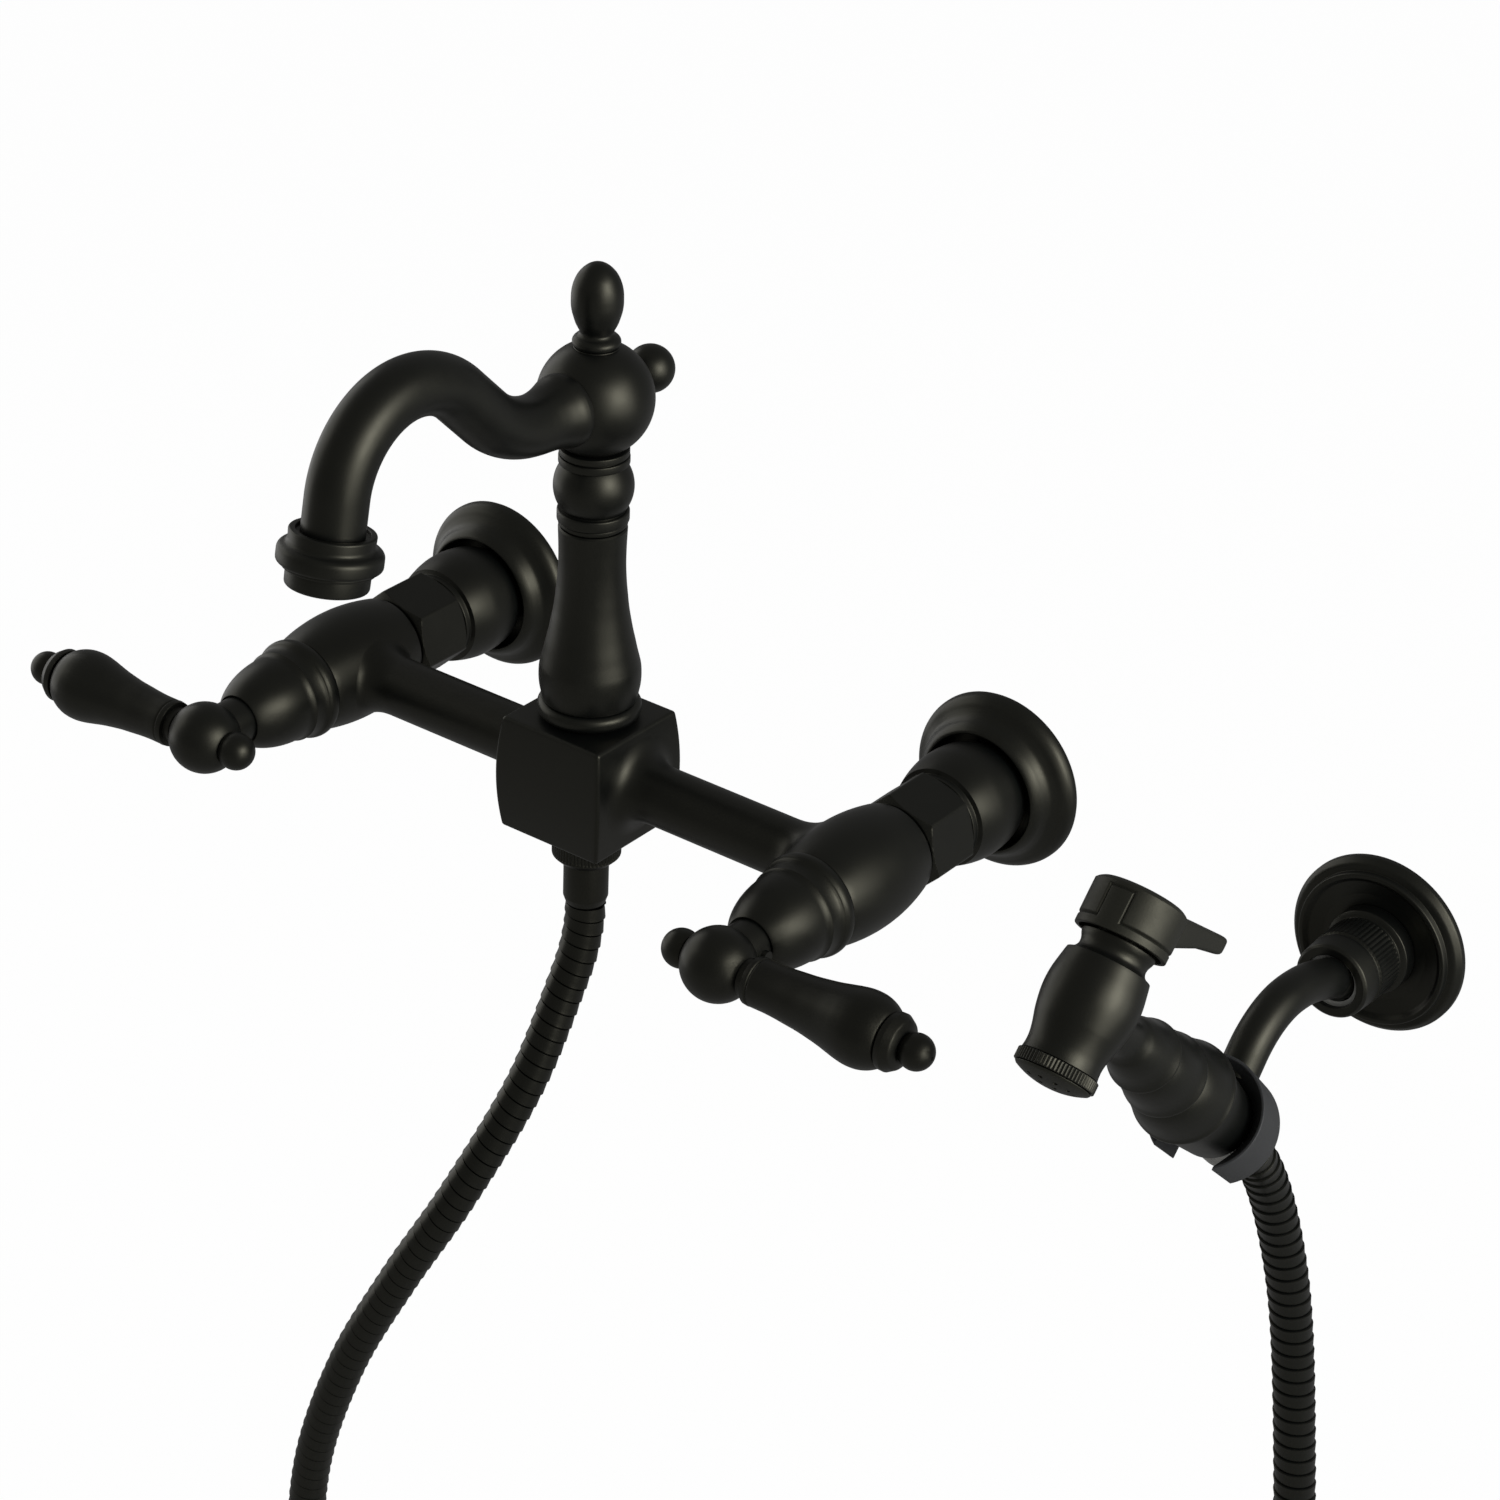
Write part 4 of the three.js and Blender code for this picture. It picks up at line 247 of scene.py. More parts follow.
@dataclass(frozen=True)
class Form:
    """A closed surface: points in millimetres, and faces as rows of point numbers."""

    points: Array
    quads: Array
    fans: Array

    def __add__(self, other: "Form") -> "Form":
        """Both surfaces in one form; they may pass through each other."""
        count = len(self.points)
        return Form(
            np.concatenate([self.points, other.points]),
            np.concatenate([self.quads, other.quads + count]),
            np.concatenate([self.fans, other.fans + count]),
        )

    def outward(self) -> "Form":
        """The same surface with its faces outwards, judged by the sign of the volume that they enclose."""
        p, q, t = self.points - self.points.mean(axis=0), self.quads, self.fans
        halves = np.concatenate([q[:, [0, 1, 2]], q[:, [0, 2, 3]], t])
        volume = np.einsum("ij,ij->i", p[halves[:, 0]], np.cross(p[halves[:, 1]], p[halves[:, 2]])).sum()
        return self if volume > 0 else Form(self.points, q[:, ::-1], t[:, ::-1])

    def mesh(self, name: str) -> bpy.types.Mesh:
        """A new Blender mesh of the surface, in metres."""
        mesh = bpy.data.meshes.new(name)
        mesh.from_pydata((self.points * MM).tolist(), [], self.quads.tolist() + self.fans.tolist())
        return mesh


def capped(rings: Array, quads: Array, hubs: Array) -> Form:
    """The surface of quads between rings, closed by fans about two middle points.

    Args:
        rings: points as [ring, point on it, 3].
        quads: faces between them, as rows of point numbers.
        hubs: the middle of the first ring and that of the last.

    Returns:
        The surface.
    """
    rows, columns = rings.shape[:2]
    first = np.arange(columns)
    last = first + (rows - 1) * columns
    start = np.column_stack([np.full(columns, rows * columns), np.roll(first, -1), first])
    end = np.column_stack([np.full(columns, rows * columns + 1), last, np.roll(last, -1)])
    return Form(np.concatenate([rings.reshape(-1, 3), hubs]), quads, np.concatenate([start, end])).outward()


def loft(rings: Array, loop: bool = False) -> Form:
    """The closed surface over a stack of closed rings of equally many points.

    Point (row, column) is joined to its neighbours by quads. The first and last ring are closed by fans
    about their middles, or joined to each other.

    Args:
        rings: points as [ring, point on it, 3].
        loop: whether the last ring is joined to the first, as round a hollow piece's wall.

    Returns:
        The surface.
    """
    rows, columns = rings.shape[:2]
    number = np.arange(rows * columns).reshape(rows, columns)
    ahead = np.roll(number, -1, axis=1)
    below = np.roll(number, -1, axis=0) if loop else number[1:]
    ahead_below = np.roll(below, -1, axis=1)
    top = slice(None) if loop else slice(0, rows - 1)
    quads = np.stack([number[top], ahead[top], ahead_below, below], axis=-1).reshape(-1, 4)
    if loop:
        return Form(rings.reshape(-1, 3), quads, NO_FANS).outward()
    return capped(rings, quads, rings[[0, -1]].mean(axis=1))


def turned(
    line: Array, place: Place, angles: Array | None = None, relief: Relief | None = None, loop: bool = False
) -> Form:
    """A turned piece: the outline's radius carried round its axis.

    A point is at (along, radius cos angle, radius sin angle) in the piece's own directions.

    Args:
        line: the outline as (along, radius) rows.
        place: where it stands.
        angles: the angles round it, in radians.
        relief: gives (along, radius) grids from the angles and the outline, for what isn't round.
        loop: whether the outline is a closed loop, as of a hollow piece.

    Returns:
        The surface.
    """
    angles = ring_angles() if angles is None else angles
    along = np.repeat(line[:, :1], len(angles), axis=1)
    radius = np.repeat(line[:, 1:], len(angles), axis=1)
    if relief is not None:
        along, radius = relief(angles[None, :], along, radius)
    local = np.stack([along, radius * np.cos(angles), radius * np.sin(angles)], axis=-1)
    return loft(place.world(local), loop)


def hollow(corners: Sequence[Corner], place: Place, count: int = 96) -> Form:
    """A turned piece with a hole through it: a closed loop of rounded corners, carried round its axis."""
    return turned(rounded(corners, loop=True), place, ring_angles(count), loop=True)


def whole_ball(centre: float, size: float, count: int = 40) -> Array:
    """The outline of a whole ball."""
    return ball_line(centre, size, centre - size, centre + size, count)


def piped(centres: Array, radii: Array | float, reference: Sequence[float], sides: int = 64) -> Form:
    """A round bar along a line.

    Each ring lies in the plane square to the line, and is laid out from the cross product of the line's
    direction with a reference direction that the line never takes.

    Args:
        centres: the line's points.
        radii: one radius, or one for each point.
        reference: the reference direction.
        sides: points round it.

    Returns:
        The surface.
    """
    across, other = side_directions(centres, reference)
    angles = np.linspace(0, TAU, sides, endpoint=False)[None, :, None]
    sizes = np.broadcast_to(np.asarray(radii, float), len(centres))[:, None, None]
    spokes = np.cos(angles) * across[:, None, :] + np.sin(angles) * other[:, None, :]
    return loft(centres[:, None, :] + sizes * spokes)


def side_directions(centres: Array, reference: Sequence[float]) -> tuple[Array, Array]:
    """Two unit directions square to a line at each of its points, worked out as piped() says."""
    forward = np.gradient(centres, axis=0)
    forward /= np.linalg.norm(forward, axis=1, keepdims=True)
    across = np.cross(forward, np.asarray(reference, float))
    across /= np.linalg.norm(across, axis=1, keepdims=True)
    return across, np.cross(across, forward)


# ---------------- reliefs


@dataclass(frozen=True)
class Knurl:
    """Straight grip ribs: between two places along it the radius sinks by a cosine wave round the piece."""

    start: float
    end: float
    ribs: int
    depth: float
    floor: float  # only what lies further out than this is ribbed
    fade: float = 0.5

    def angles(self) -> Array:
        """Six angles for each rib."""
        return ring_angles(6 * self.ribs)

    def __call__(self, angles: Array, along: Array, radius: Array) -> tuple[Array, Array]:
        """The grids with the ribs sunk into them."""
        inside = np.clip(np.minimum(along - self.start, self.end - along) / self.fade, 0, 1)
        wave = 0.5 + 0.5 * np.cos(self.ribs * angles)
        return along, np.where(radius > self.floor, radius - self.depth * inside * wave**1.5, radius)


@dataclass(frozen=True)
class Hexagon:
    """Six flats: the radius is the lesser of the outline's and a hexagon's with rounded corners.

    On a flat the hexagon's radius is half the width over the cosine of the angle from the flat's middle,
    and on a corner it is that of an arc about a point a little inside the corner.
    """

    flats: float
    corner: float
    edge: float
    floor: float

    def angles(self) -> Array:
        """Angles with a finer step at the six corners."""
        return ring_angles(dense=[self.corner + 60 * k for k in range(6)], spread=2.4)

    def __call__(self, angles: Array, along: Array, radius: Array) -> tuple[Array, Array]:
        """The grids cut to the hexagon where the outline is larger than the floor radius."""
        off = (angles - math.radians(self.corner) + math.pi / 6) % (math.pi / 3) - math.pi / 6
        flat = self.flats / 2 / np.cos(math.pi / 6 - np.abs(off))
        pin = (self.flats / 2 - self.edge) / math.cos(math.pi / 6)
        on_arc = np.abs(off) < math.atan(self.edge / 2 / (pin + self.edge * math.cos(math.pi / 6)))
        arc = pin * np.cos(off) + np.sqrt(np.maximum(self.edge**2 - (pin * np.sin(off)) ** 2, 0))
        hexagon = np.where(on_arc, arc, flat)
        return along, np.where(radius > self.floor, np.minimum(radius, hexagon), radius)


# ---------------- finishes


def linear(colour: str) -> tuple[float, float, float, float]:
    """An sRGB hex colour as linear red, green and blue, and an alpha of one."""
    shades = [int(colour[k : k + 2], 16) / 255 for k in (1, 3, 5)]
    red, green, blue = (s / 12.92 if s <= 0.04045 else ((s + 0.055) / 1.055) ** 2.4 for s in shades)
    return red, green, blue, 1.0


def add_node(
    tree: bpy.types.NodeTree,
    kind: str,
    settings: dict[str | int, object] | None = None,
    links: dict[str | int, bpy.types.NodeSocket] | None = None,
) -> bpy.types.Node:
    """Adds a node with its settings and links.

    Args:
        tree: the tree that it goes into.
        kind: Blender's name of the node.
        settings: values, by the name of an option or the name or number of an input.
        links: sockets that feed inputs, by the input's name or number.

    Returns:
        The node.
    """
    node = tree.nodes.new(kind)
    for name, value in (settings or {}).items():
        if isinstance(name, str) and hasattr(node, name):
            setattr(node, name, value)
        else:
            node.inputs[name].default_value = value
    for name, source in (links or {}).items():
        tree.links.new(source, node.inputs[name])
    return node


def fresh_tree(owner: bpy.types.Material | bpy.types.World) -> bpy.types.NodeTree:
    """The owner's node tree, emptied."""
    owner.use_nodes = True
    owner.node_tree.nodes.clear()
    return owner.node_tree


def add_object(name: str, data: bpy.types.ID) -> bpy.types.Object:
    """A new object in the scene, with a mesh, a lamp or a lens."""
    thing = bpy.data.objects.new(name, data)
    bpy.context.scene.collection.objects.link(thing)
    return thing


class Grain(Enum):
    """What kind of fine relief a surface has."""

    COATED = "ShaderNodeTexNoise"
    MOULDED = "ShaderNodeTexVoronoi"
    TURNED = "ShaderNodeTexWave"


@dataclass(frozen=True)
class Finish:
    """A finish: what the surface is made of, and how its grain, sheen and shade vary over it."""

    name: str
    slot: str
    colour: str
    shade: str
    roughness: float
    roughness_spread: float
    grain: Grain
    grain_size: float
    grain_height: float
    metallic: float = 0.0
    specular: float = 0.5
    sheen: str = "#ffffff"
    mottle_size: float = 9.0

    @cache
    def material(self) -> bpy.types.Material:
        """The material: mottled colour and roughness at one scale, and bump at the grain's scale."""
        material = bpy.data.materials.new(self.name)
        tree = fresh_tree(material)
        spot = add_node(tree, "ShaderNodeTexCoord").outputs["Object"]
        patches = {"Scale": 1 / (self.mottle_size * MM), "Detail": 3.0, "Roughness": 0.6}
        mottle = add_node(tree, "ShaderNodeTexNoise", patches, {"Vector": spot}).outputs[0]
        scale = {"Scale": 1 / (self.grain_size * MM)}
        grain = add_node(tree, self.grain.value, scale, {"Vector": spot}).outputs[0]
        shades = {"data_type": "RGBA", 6: linear(self.colour), 7: linear(self.shade)}
        colour = add_node(tree, "ShaderNodeMix", shades, {0: mottle}).outputs[2]
        low, high = self.roughness - self.roughness_spread, self.roughness + self.roughness_spread
        spread = {"From Min": 0.3, "From Max": 0.7, "To Min": low, "To Max": high}
        rough = add_node(tree, "ShaderNodeMapRange", spread, {"Value": mottle}).outputs[0]
        height = {"Strength": 1.0, "Distance": self.grain_height * MM}
        bump = add_node(tree, "ShaderNodeBump", height, {"Height": grain}).outputs[0]
        sheen = {"Specular IOR Level": self.specular, "Specular Tint": linear(self.sheen)}
        inputs = {"Base Color": colour, "Roughness": rough, "Normal": bump}
        surface = add_node(tree, "ShaderNodeBsdfPrincipled", {"Metallic": self.metallic, **sheen}, inputs)
        add_node(tree, "ShaderNodeOutputMaterial", None, {"Surface": surface.outputs[0]})
        return material


WARM_SHEEN = "#fffbe1"  # the yellowish white of the coat's highlights

# Powder coat on turned and cast brass: a near-black satin skin, bluish in the shade, with a warm sheen and
# a faint orange peel. The grain of the real coat is about 0.1 mm, drawn at 0.45 mm so that it shows.
SATIN_BLACK = Finish(
    "satin black powder coat", "matte_black", "#080a0b", "#0b0d0d", 0.38, 0.03, Grain.COATED, 0.45, 0.006,
    sheen=WARM_SHEEN,
)
# Interlocked steel strip under the same coat: a little glossier, so that each turn's lip draws a line.
HOSE_BLACK = Finish(
    "black coated steel strip", "hose_black", "#080a0b", "#0b0d0d", 0.33, 0.04, Grain.COATED, 0.5, 0.004,
    sheen=WARM_SHEEN,
)
# Injection-moulded ABS: greyer than the coat, with a spark-eroded texture, drawn at 0.6 mm to show.
MOULDED_BLACK = Finish(
    "black moulded plastic", "black_plastic", "#151613", "#1c1d1a", 0.48, 0.05, Grain.MOULDED, 0.6, 0.012,
    sheen=WARM_SHEEN,
)
# Glass-filled nylon of the clip: a paler, neutral grey where the light falls on it.
CLIP_GREY = Finish(
    "dark grey nylon", "black_plastic", "#2c2d2e", "#343536", 0.55, 0.05, Grain.MOULDED, 0.6, 0.01
)
# Acetal bush: a paler slippery plastic that shows as a thin crescent inside the holder's collar.
BUSH_GREY = Finish(
    "grey acetal plastic", "bush_plastic", "#8d8d88", "#999994", 0.45, 0.04, Grain.COATED, 0.8, 0.004
)
# Turned and knurled steel with a bright nickel plate: sharp light and dark lines along the ribs.
BRIGHT_STEEL = Finish(
    "nickel plated steel", "steel", "#b4b3ae", "#c4c3be", 0.34, 0.05, Grain.TURNED, 1.2, 0.003, metallic=1.0
)
# Machined brass inside the valves: warm, with fine tool rings.
TURNED_BRASS = Finish(
    "machined brass", "brass", "#b08d4a", "#c09a55", 0.32, 0.05, Grain.TURNED, 1.0, 0.004, metallic=1.0
)
# Moulded rubber of the washers and the seal: dull and dark.
BLACK_RUBBER = Finish("moulded rubber", "rubber", "#121212", "#191919", 0.8, 0.06, Grain.COATED, 0.7, 0.01)


# ---------------- pieces


def make_piece(
    name: str, form: Form, finish: Finish, body: str, node: str = "", sharp: float = 32.0
) -> bpy.types.Object:
    """Puts a form into the scene as a finished piece that stands for one CAD node.

    Args:
        name: the piece's name: the node's, a full stop, and how the piece was made.
        form: its surface.
        finish: what covers it.
        body: the CAD body that it rides on, or nothing for a piece that is attached to no body.
        node: the CAD node, where the name doesn't begin with it.
        sharp: edges that bend by more than this many degrees are drawn sharp.

    Returns:
        The piece's object.
    """
    node = node or name.split(".")[0]
    mesh = form.mesh(name)
    work = bmesh.new()
    work.from_mesh(mesh)
    bmesh.ops.remove_doubles(work, verts=work.verts, dist=SAME_SPOT)
    work.to_mesh(mesh)
    work.free()
    mesh.polygons.foreach_set("use_smooth", np.ones(len(mesh.polygons), bool))
    mesh.set_sharp_from_angle(angle=math.radians(sharp))
    mesh.materials.append(finish.material())
    mesh.update()
    piece = add_object(name, mesh)
    if body:
        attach(piece, body)
    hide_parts(node)
    LOG.info("%s: %d faces, on %s, for %s", name, len(mesh.polygons), body or "two bodies", node)
    return piece


def make_coated(body: str, forms: dict[str, Form]) -> None:
    """Makes pieces of black coated metal on one body, from their names and forms."""
    for name, form in forms.items():
        make_piece(name, form, SATIN_BLACK, body)


def bore(piece: bpy.types.Object, holes: Form) -> None:
    """Cuts holes out of a piece with an exact boolean, and applies it.

    Args:
        piece: the piece that is cut.
        holes: the closed forms of what is taken out.
    """
    mesh = holes.mesh("drill")
    drill = add_object("drill", mesh)
    cut = piece.modifiers.new("holes", "BOOLEAN")
    cut.operation, cut.solver, cut.object = "DIFFERENCE", "EXACT", drill
    shape = bpy.data.meshes.new_from_object(piece.evaluated_get(bpy.context.evaluated_depsgraph_get()))
    piece.modifiers.clear()
    old, piece.data = piece.data, shape
    shape.name = piece.name
    bpy.data.objects.remove(drill)
    bpy.data.meshes.remove(mesh)
    bpy.data.meshes.remove(old)


# ---------------- the studio


PURE_WHITE = linear("#ffffff")


@dataclass(frozen=True)
class Softbox:
    """A square lamp: the direction to it from the faucet, its distance and size in metres, its watts."""

    name: str
    direction: Point
    distance: float
    size: float
    watts: float

    def build(self, target: Vector) -> None:
        """Adds the lamp, aimed at the target."""
        lamp = bpy.data.lights.new(self.name, "AREA")
        lamp.shape, lamp.size, lamp.energy = "SQUARE", self.size, self.watts
        holder = add_object(self.name, lamp)
        towards = Vector(self.direction).normalized()
        holder.location = target + towards * self.distance
        holder.rotation_euler = towards.to_track_quat("Z", "Y").to_euler()


@dataclass(frozen=True)
class Studio:
    """The camera, the pale room and the lamps."""

    eye: Point = (0.685529, -0.932200, 0.619984)
    right: Point = (0.7945476, 0.606081, 0.0368768)
    down: Point = (0.3220233, -0.3691143, -0.8718117)
    ahead: Point = (-0.5147768, 0.7045711, -0.4884511)
    focal: float = 96.89
    sensor: float = 36.0
    floor_height: float = -0.60
    floor_size: float = 7.0
    room_light: float = 0.3
    mirrored_room: float = 0.15  # the photographed coat mirrors a dark room, so the white is faint in it
    mirrored_floor: float = 0.22
    floor_white: float = 0.98
    target: Point = (0.08, -0.1, 0.05)  # what the lamps point at
    lamps: tuple[Softbox, ...] = (
        Softbox("right softbox", (0.95, -0.02, 0.27), 1.5, 1.6, 14.0),
        Softbox("right softbox core", (0.93, -0.04, 0.36), 1.45, 0.6, 6.5),
        Softbox("left softbox", (-0.98, -0.02, 0.12), 1.5, 1.5, 6.0),
    )

    def camera(self) -> None:
        """The camera where the photograph was taken from, with its lens."""
        lens = bpy.data.cameras.new("camera")
        lens.lens, lens.sensor_width, lens.sensor_fit = self.focal, self.sensor, "HORIZONTAL"
        lens.clip_start, lens.clip_end = 0.05, 50.0
        holder = add_object("camera", lens)
        columns = np.column_stack([self.right, -np.array(self.down), -np.array(self.ahead)])
        holder.matrix_world = Matrix.Translation(self.eye) @ Matrix(columns.tolist()).to_4x4()
        bpy.context.scene.camera = holder

    def by_ray(
        self, tree: bpy.types.NodeTree, carried: float, seen: float, mirrored: float
    ) -> bpy.types.NodeSocket:
        """A value that depends on what a ray is for.

        Args:
            tree: the tree that it goes into.
            carried: the value for rays that carry light to a surface.
            seen: the value for rays from the camera or through glass.
            mirrored: the value for rays off a glossy surface.

        Returns:
            The socket with the value.
        """
        rays = add_node(tree, "ShaderNodeLightPath").outputs
        pair = {0: rays["Is Camera Ray"], 1: rays["Is Transmission Ray"]}
        direct = add_node(tree, "ShaderNodeMath", {"operation": "MAXIMUM"}, pair).outputs[0]
        plain = add_node(tree, "ShaderNodeMix", {2: carried, 3: seen}, {0: direct}).outputs[0]
        return add_node(tree, "ShaderNodeMix", {3: mirrored}, {0: rays["Is Glossy Ray"], 2: plain}).outputs[0]

    def room(self) -> None:
        """A white room to look at, which lights the object at a plain level."""
        world = bpy.data.worlds.new("pale room")
        bpy.context.scene.world = world
        tree = fresh_tree(world)
        strength = {"Strength": self.by_ray(tree, self.room_light, 1.0, self.mirrored_room)}
        white = add_node(tree, "ShaderNodeBackground", {"Color": PURE_WHITE}, strength).outputs[0]
        add_node(tree, "ShaderNodeOutputWorld", None, {"Surface": white})

    def floor(self) -> None:
        """A pale floor under the hose: mostly its own white to the camera, with a trace of the shadow."""
        half, z = self.floor_size / 2, self.floor_height
        corners = [(-half, -half, z), (half, -half, z), (half, half, z), (-half, half, z)]
        mesh = bpy.data.meshes.new("floor")
        mesh.from_pydata(corners, [], [(0, 1, 2, 3)])
        material = bpy.data.materials.new("white studio floor")
        tree = fresh_tree(material)
        spot = add_node(tree, "ShaderNodeTexCoord").outputs["Object"]
        tone = add_node(tree, "ShaderNodeTexNoise", {"Scale": 3.0}, {"Vector": spot}).outputs[0]
        shades = {"data_type": "RGBA", 6: linear("#f4f4f2"), 7: linear("#f8f8f6")}
        paint = add_node(tree, "ShaderNodeMix", shades, {0: tone}).outputs[2]
        matt = add_node(tree, "ShaderNodeBsdfDiffuse", None, {"Color": paint}).outputs[0]
        strength = {"Strength": self.by_ray(tree, 1.0, 1.0, self.mirrored_floor)}
        own = add_node(tree, "ShaderNodeEmission", {"Color": PURE_WHITE}, strength).outputs[0]
        share = self.by_ray(tree, 0.0, self.floor_white, 1.0)
        mixed = add_node(tree, "ShaderNodeMixShader", None, {0: share, 1: matt, 2: own}).outputs[0]
        add_node(tree, "ShaderNodeOutputMaterial", None, {"Surface": mixed})
        mesh.materials.append(material)
        floor = add_object("floor", mesh)

    def light(self) -> None:
        """The floor, the room and the lamps."""
        self.floor()
        self.room()
        for lamp in self.lamps:
            lamp.build(Vector(self.target))
        bpy.context.scene.view_settings.view_transform = "Standard"


# ---------------- the hose


@dataclass(frozen=True)
class Hose:
    """The interlocked metal hose, from the ferrule under the block to the ferrule of the parked spray."""

    length: float = 1.2  # metres
    diameter: float = 0.0132
    pitch: float = 4.9
    sides: int = 36
    route: tuple[Point, ...] = (
        (0, -0.0789, -0.0495), (-0.0001, -0.0791, -0.056), (-0.001, -0.0807, -0.067),
        (-0.0032, -0.0844, -0.0805), (-0.0093, -0.096, -0.1138), (-0.0246, -0.112, -0.157),
        (-0.043, -0.121, -0.195), (-0.062, -0.1265, -0.237), (-0.078, -0.128, -0.291),
        (-0.082, -0.125, -0.352), (-0.068, -0.118, -0.417), (-0.033, -0.109, -0.478),
        (0.021, -0.099, -0.521), (0.084, -0.089, -0.538), (0.148, -0.079, -0.523),
        (0.203, -0.069, -0.480), (0.238, -0.060, -0.418), (0.255, -0.052, -0.348),
        (0.259, -0.045, -0.276), (0.256, -0.041, -0.209), (0.2498, -0.0405, -0.152),
        (0.2446, -0.043, -0.109), (0.2412, -0.048, -0.083), (0.2389, -0.0546, -0.0635),
        (0.2379, -0.0605, -0.0525), (0.2378, -0.0662, -0.0454), (0.2378, -0.0703, -0.0413),
    )
    held_by_block: Point = (0.02, 0.0, 0.0)  # metres; a bound near the block
    held_by_spray: Point = (0.235, 0.0, 0.0)  # metres; a bound near the spray
    phases: tuple[float, ...] = (0.0, 0.07, 0.10, 0.35, 0.60, 0.86, 0.94, 0.98)  # shares of a turn
    radii: tuple[float, ...] = (5.45, 5.45, 6.12, 6.28, 6.4, 6.53, 6.6, 6.3)  # the strip's, at those phases
    end_radius: float = 6.2
    path_step: int = 12  # every so many points of the middle line are taken into a path

    def line(self) -> Array:
        """The hose's middle line, in millimetres."""
        return through(self.route, 60) / MM

    def form(self) -> Form:
        """The strip wound round the middle line.

        A point of column j lies along the line at the pitch times (its row's turn and phase, plus j over
        the columns), so that the last column of a row meets the first column a turn further on.
        The radius climbs over each turn from a groove to a lip. Rows past either end are drawn in to it.
        """
        line = self.line()
        run = run_along(line)
        lap = len(self.phases)
        turns = math.ceil(run[-1] / self.pitch) + 2
        rows = turns * lap
        phase = np.tile(np.array(self.phases), turns) + np.repeat(np.arange(turns), lap) - 1
        around = np.arange(self.sides) / self.sides
        travel = np.clip(self.pitch * (phase[:, None] + around[None, :]), 0, run[-1])
        past_end = (travel <= 0) | (travel >= run[-1])
        wound = np.tile(np.array(self.radii), turns)[:, None]
        radius = np.where(past_end, self.end_radius, wound)[..., None]
        directions = side_directions(line, (0, 1, 0))
        at, first, second = (resampled(part, run, travel) for part in (line, *directions))
        angle = (TAU * around)[None, :, None]
        points = at + radius * (np.cos(angle) * first + np.sin(angle) * second)
        number = np.arange(rows * self.sides).reshape(rows, self.sides)
        inner = np.stack([number[:-1, :-1], number[:-1, 1:], number[1:, 1:], number[1:, :-1]], axis=-1)
        last, next_first = number[: rows - lap, -1], number[lap:, 0]
        seam = np.stack([last[:-1], next_first[:-1], next_first[1:], last[1:]], axis=-1)
        return capped(points, np.concatenate([inner.reshape(-1, 4), seam]), line[[0, -1]])

    def build(self) -> None:
        hose = make_piece("wound_hose", self.form(), HOSE_BLACK, "", "hose")
        path = self.line()[:: self.path_step] * MM
        tuple(self.route[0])
        tuple(self.held_by_block)
        tuple(self.held_by_spray)
        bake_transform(hose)


# ---------------- the bridge


def valve_axis(side: int) -> Place:
    """On the axis of the left (-1) or right (1) valve, measured from the wall outwards."""
    return Place((side * HALF_SPREAD, 0, 0), (0, -1, 0))


def end_name(side: int) -> str:
    """What the names of the left (-1) or right (1) valve's pieces end with."""
    return "left" if side < 0 else "right"


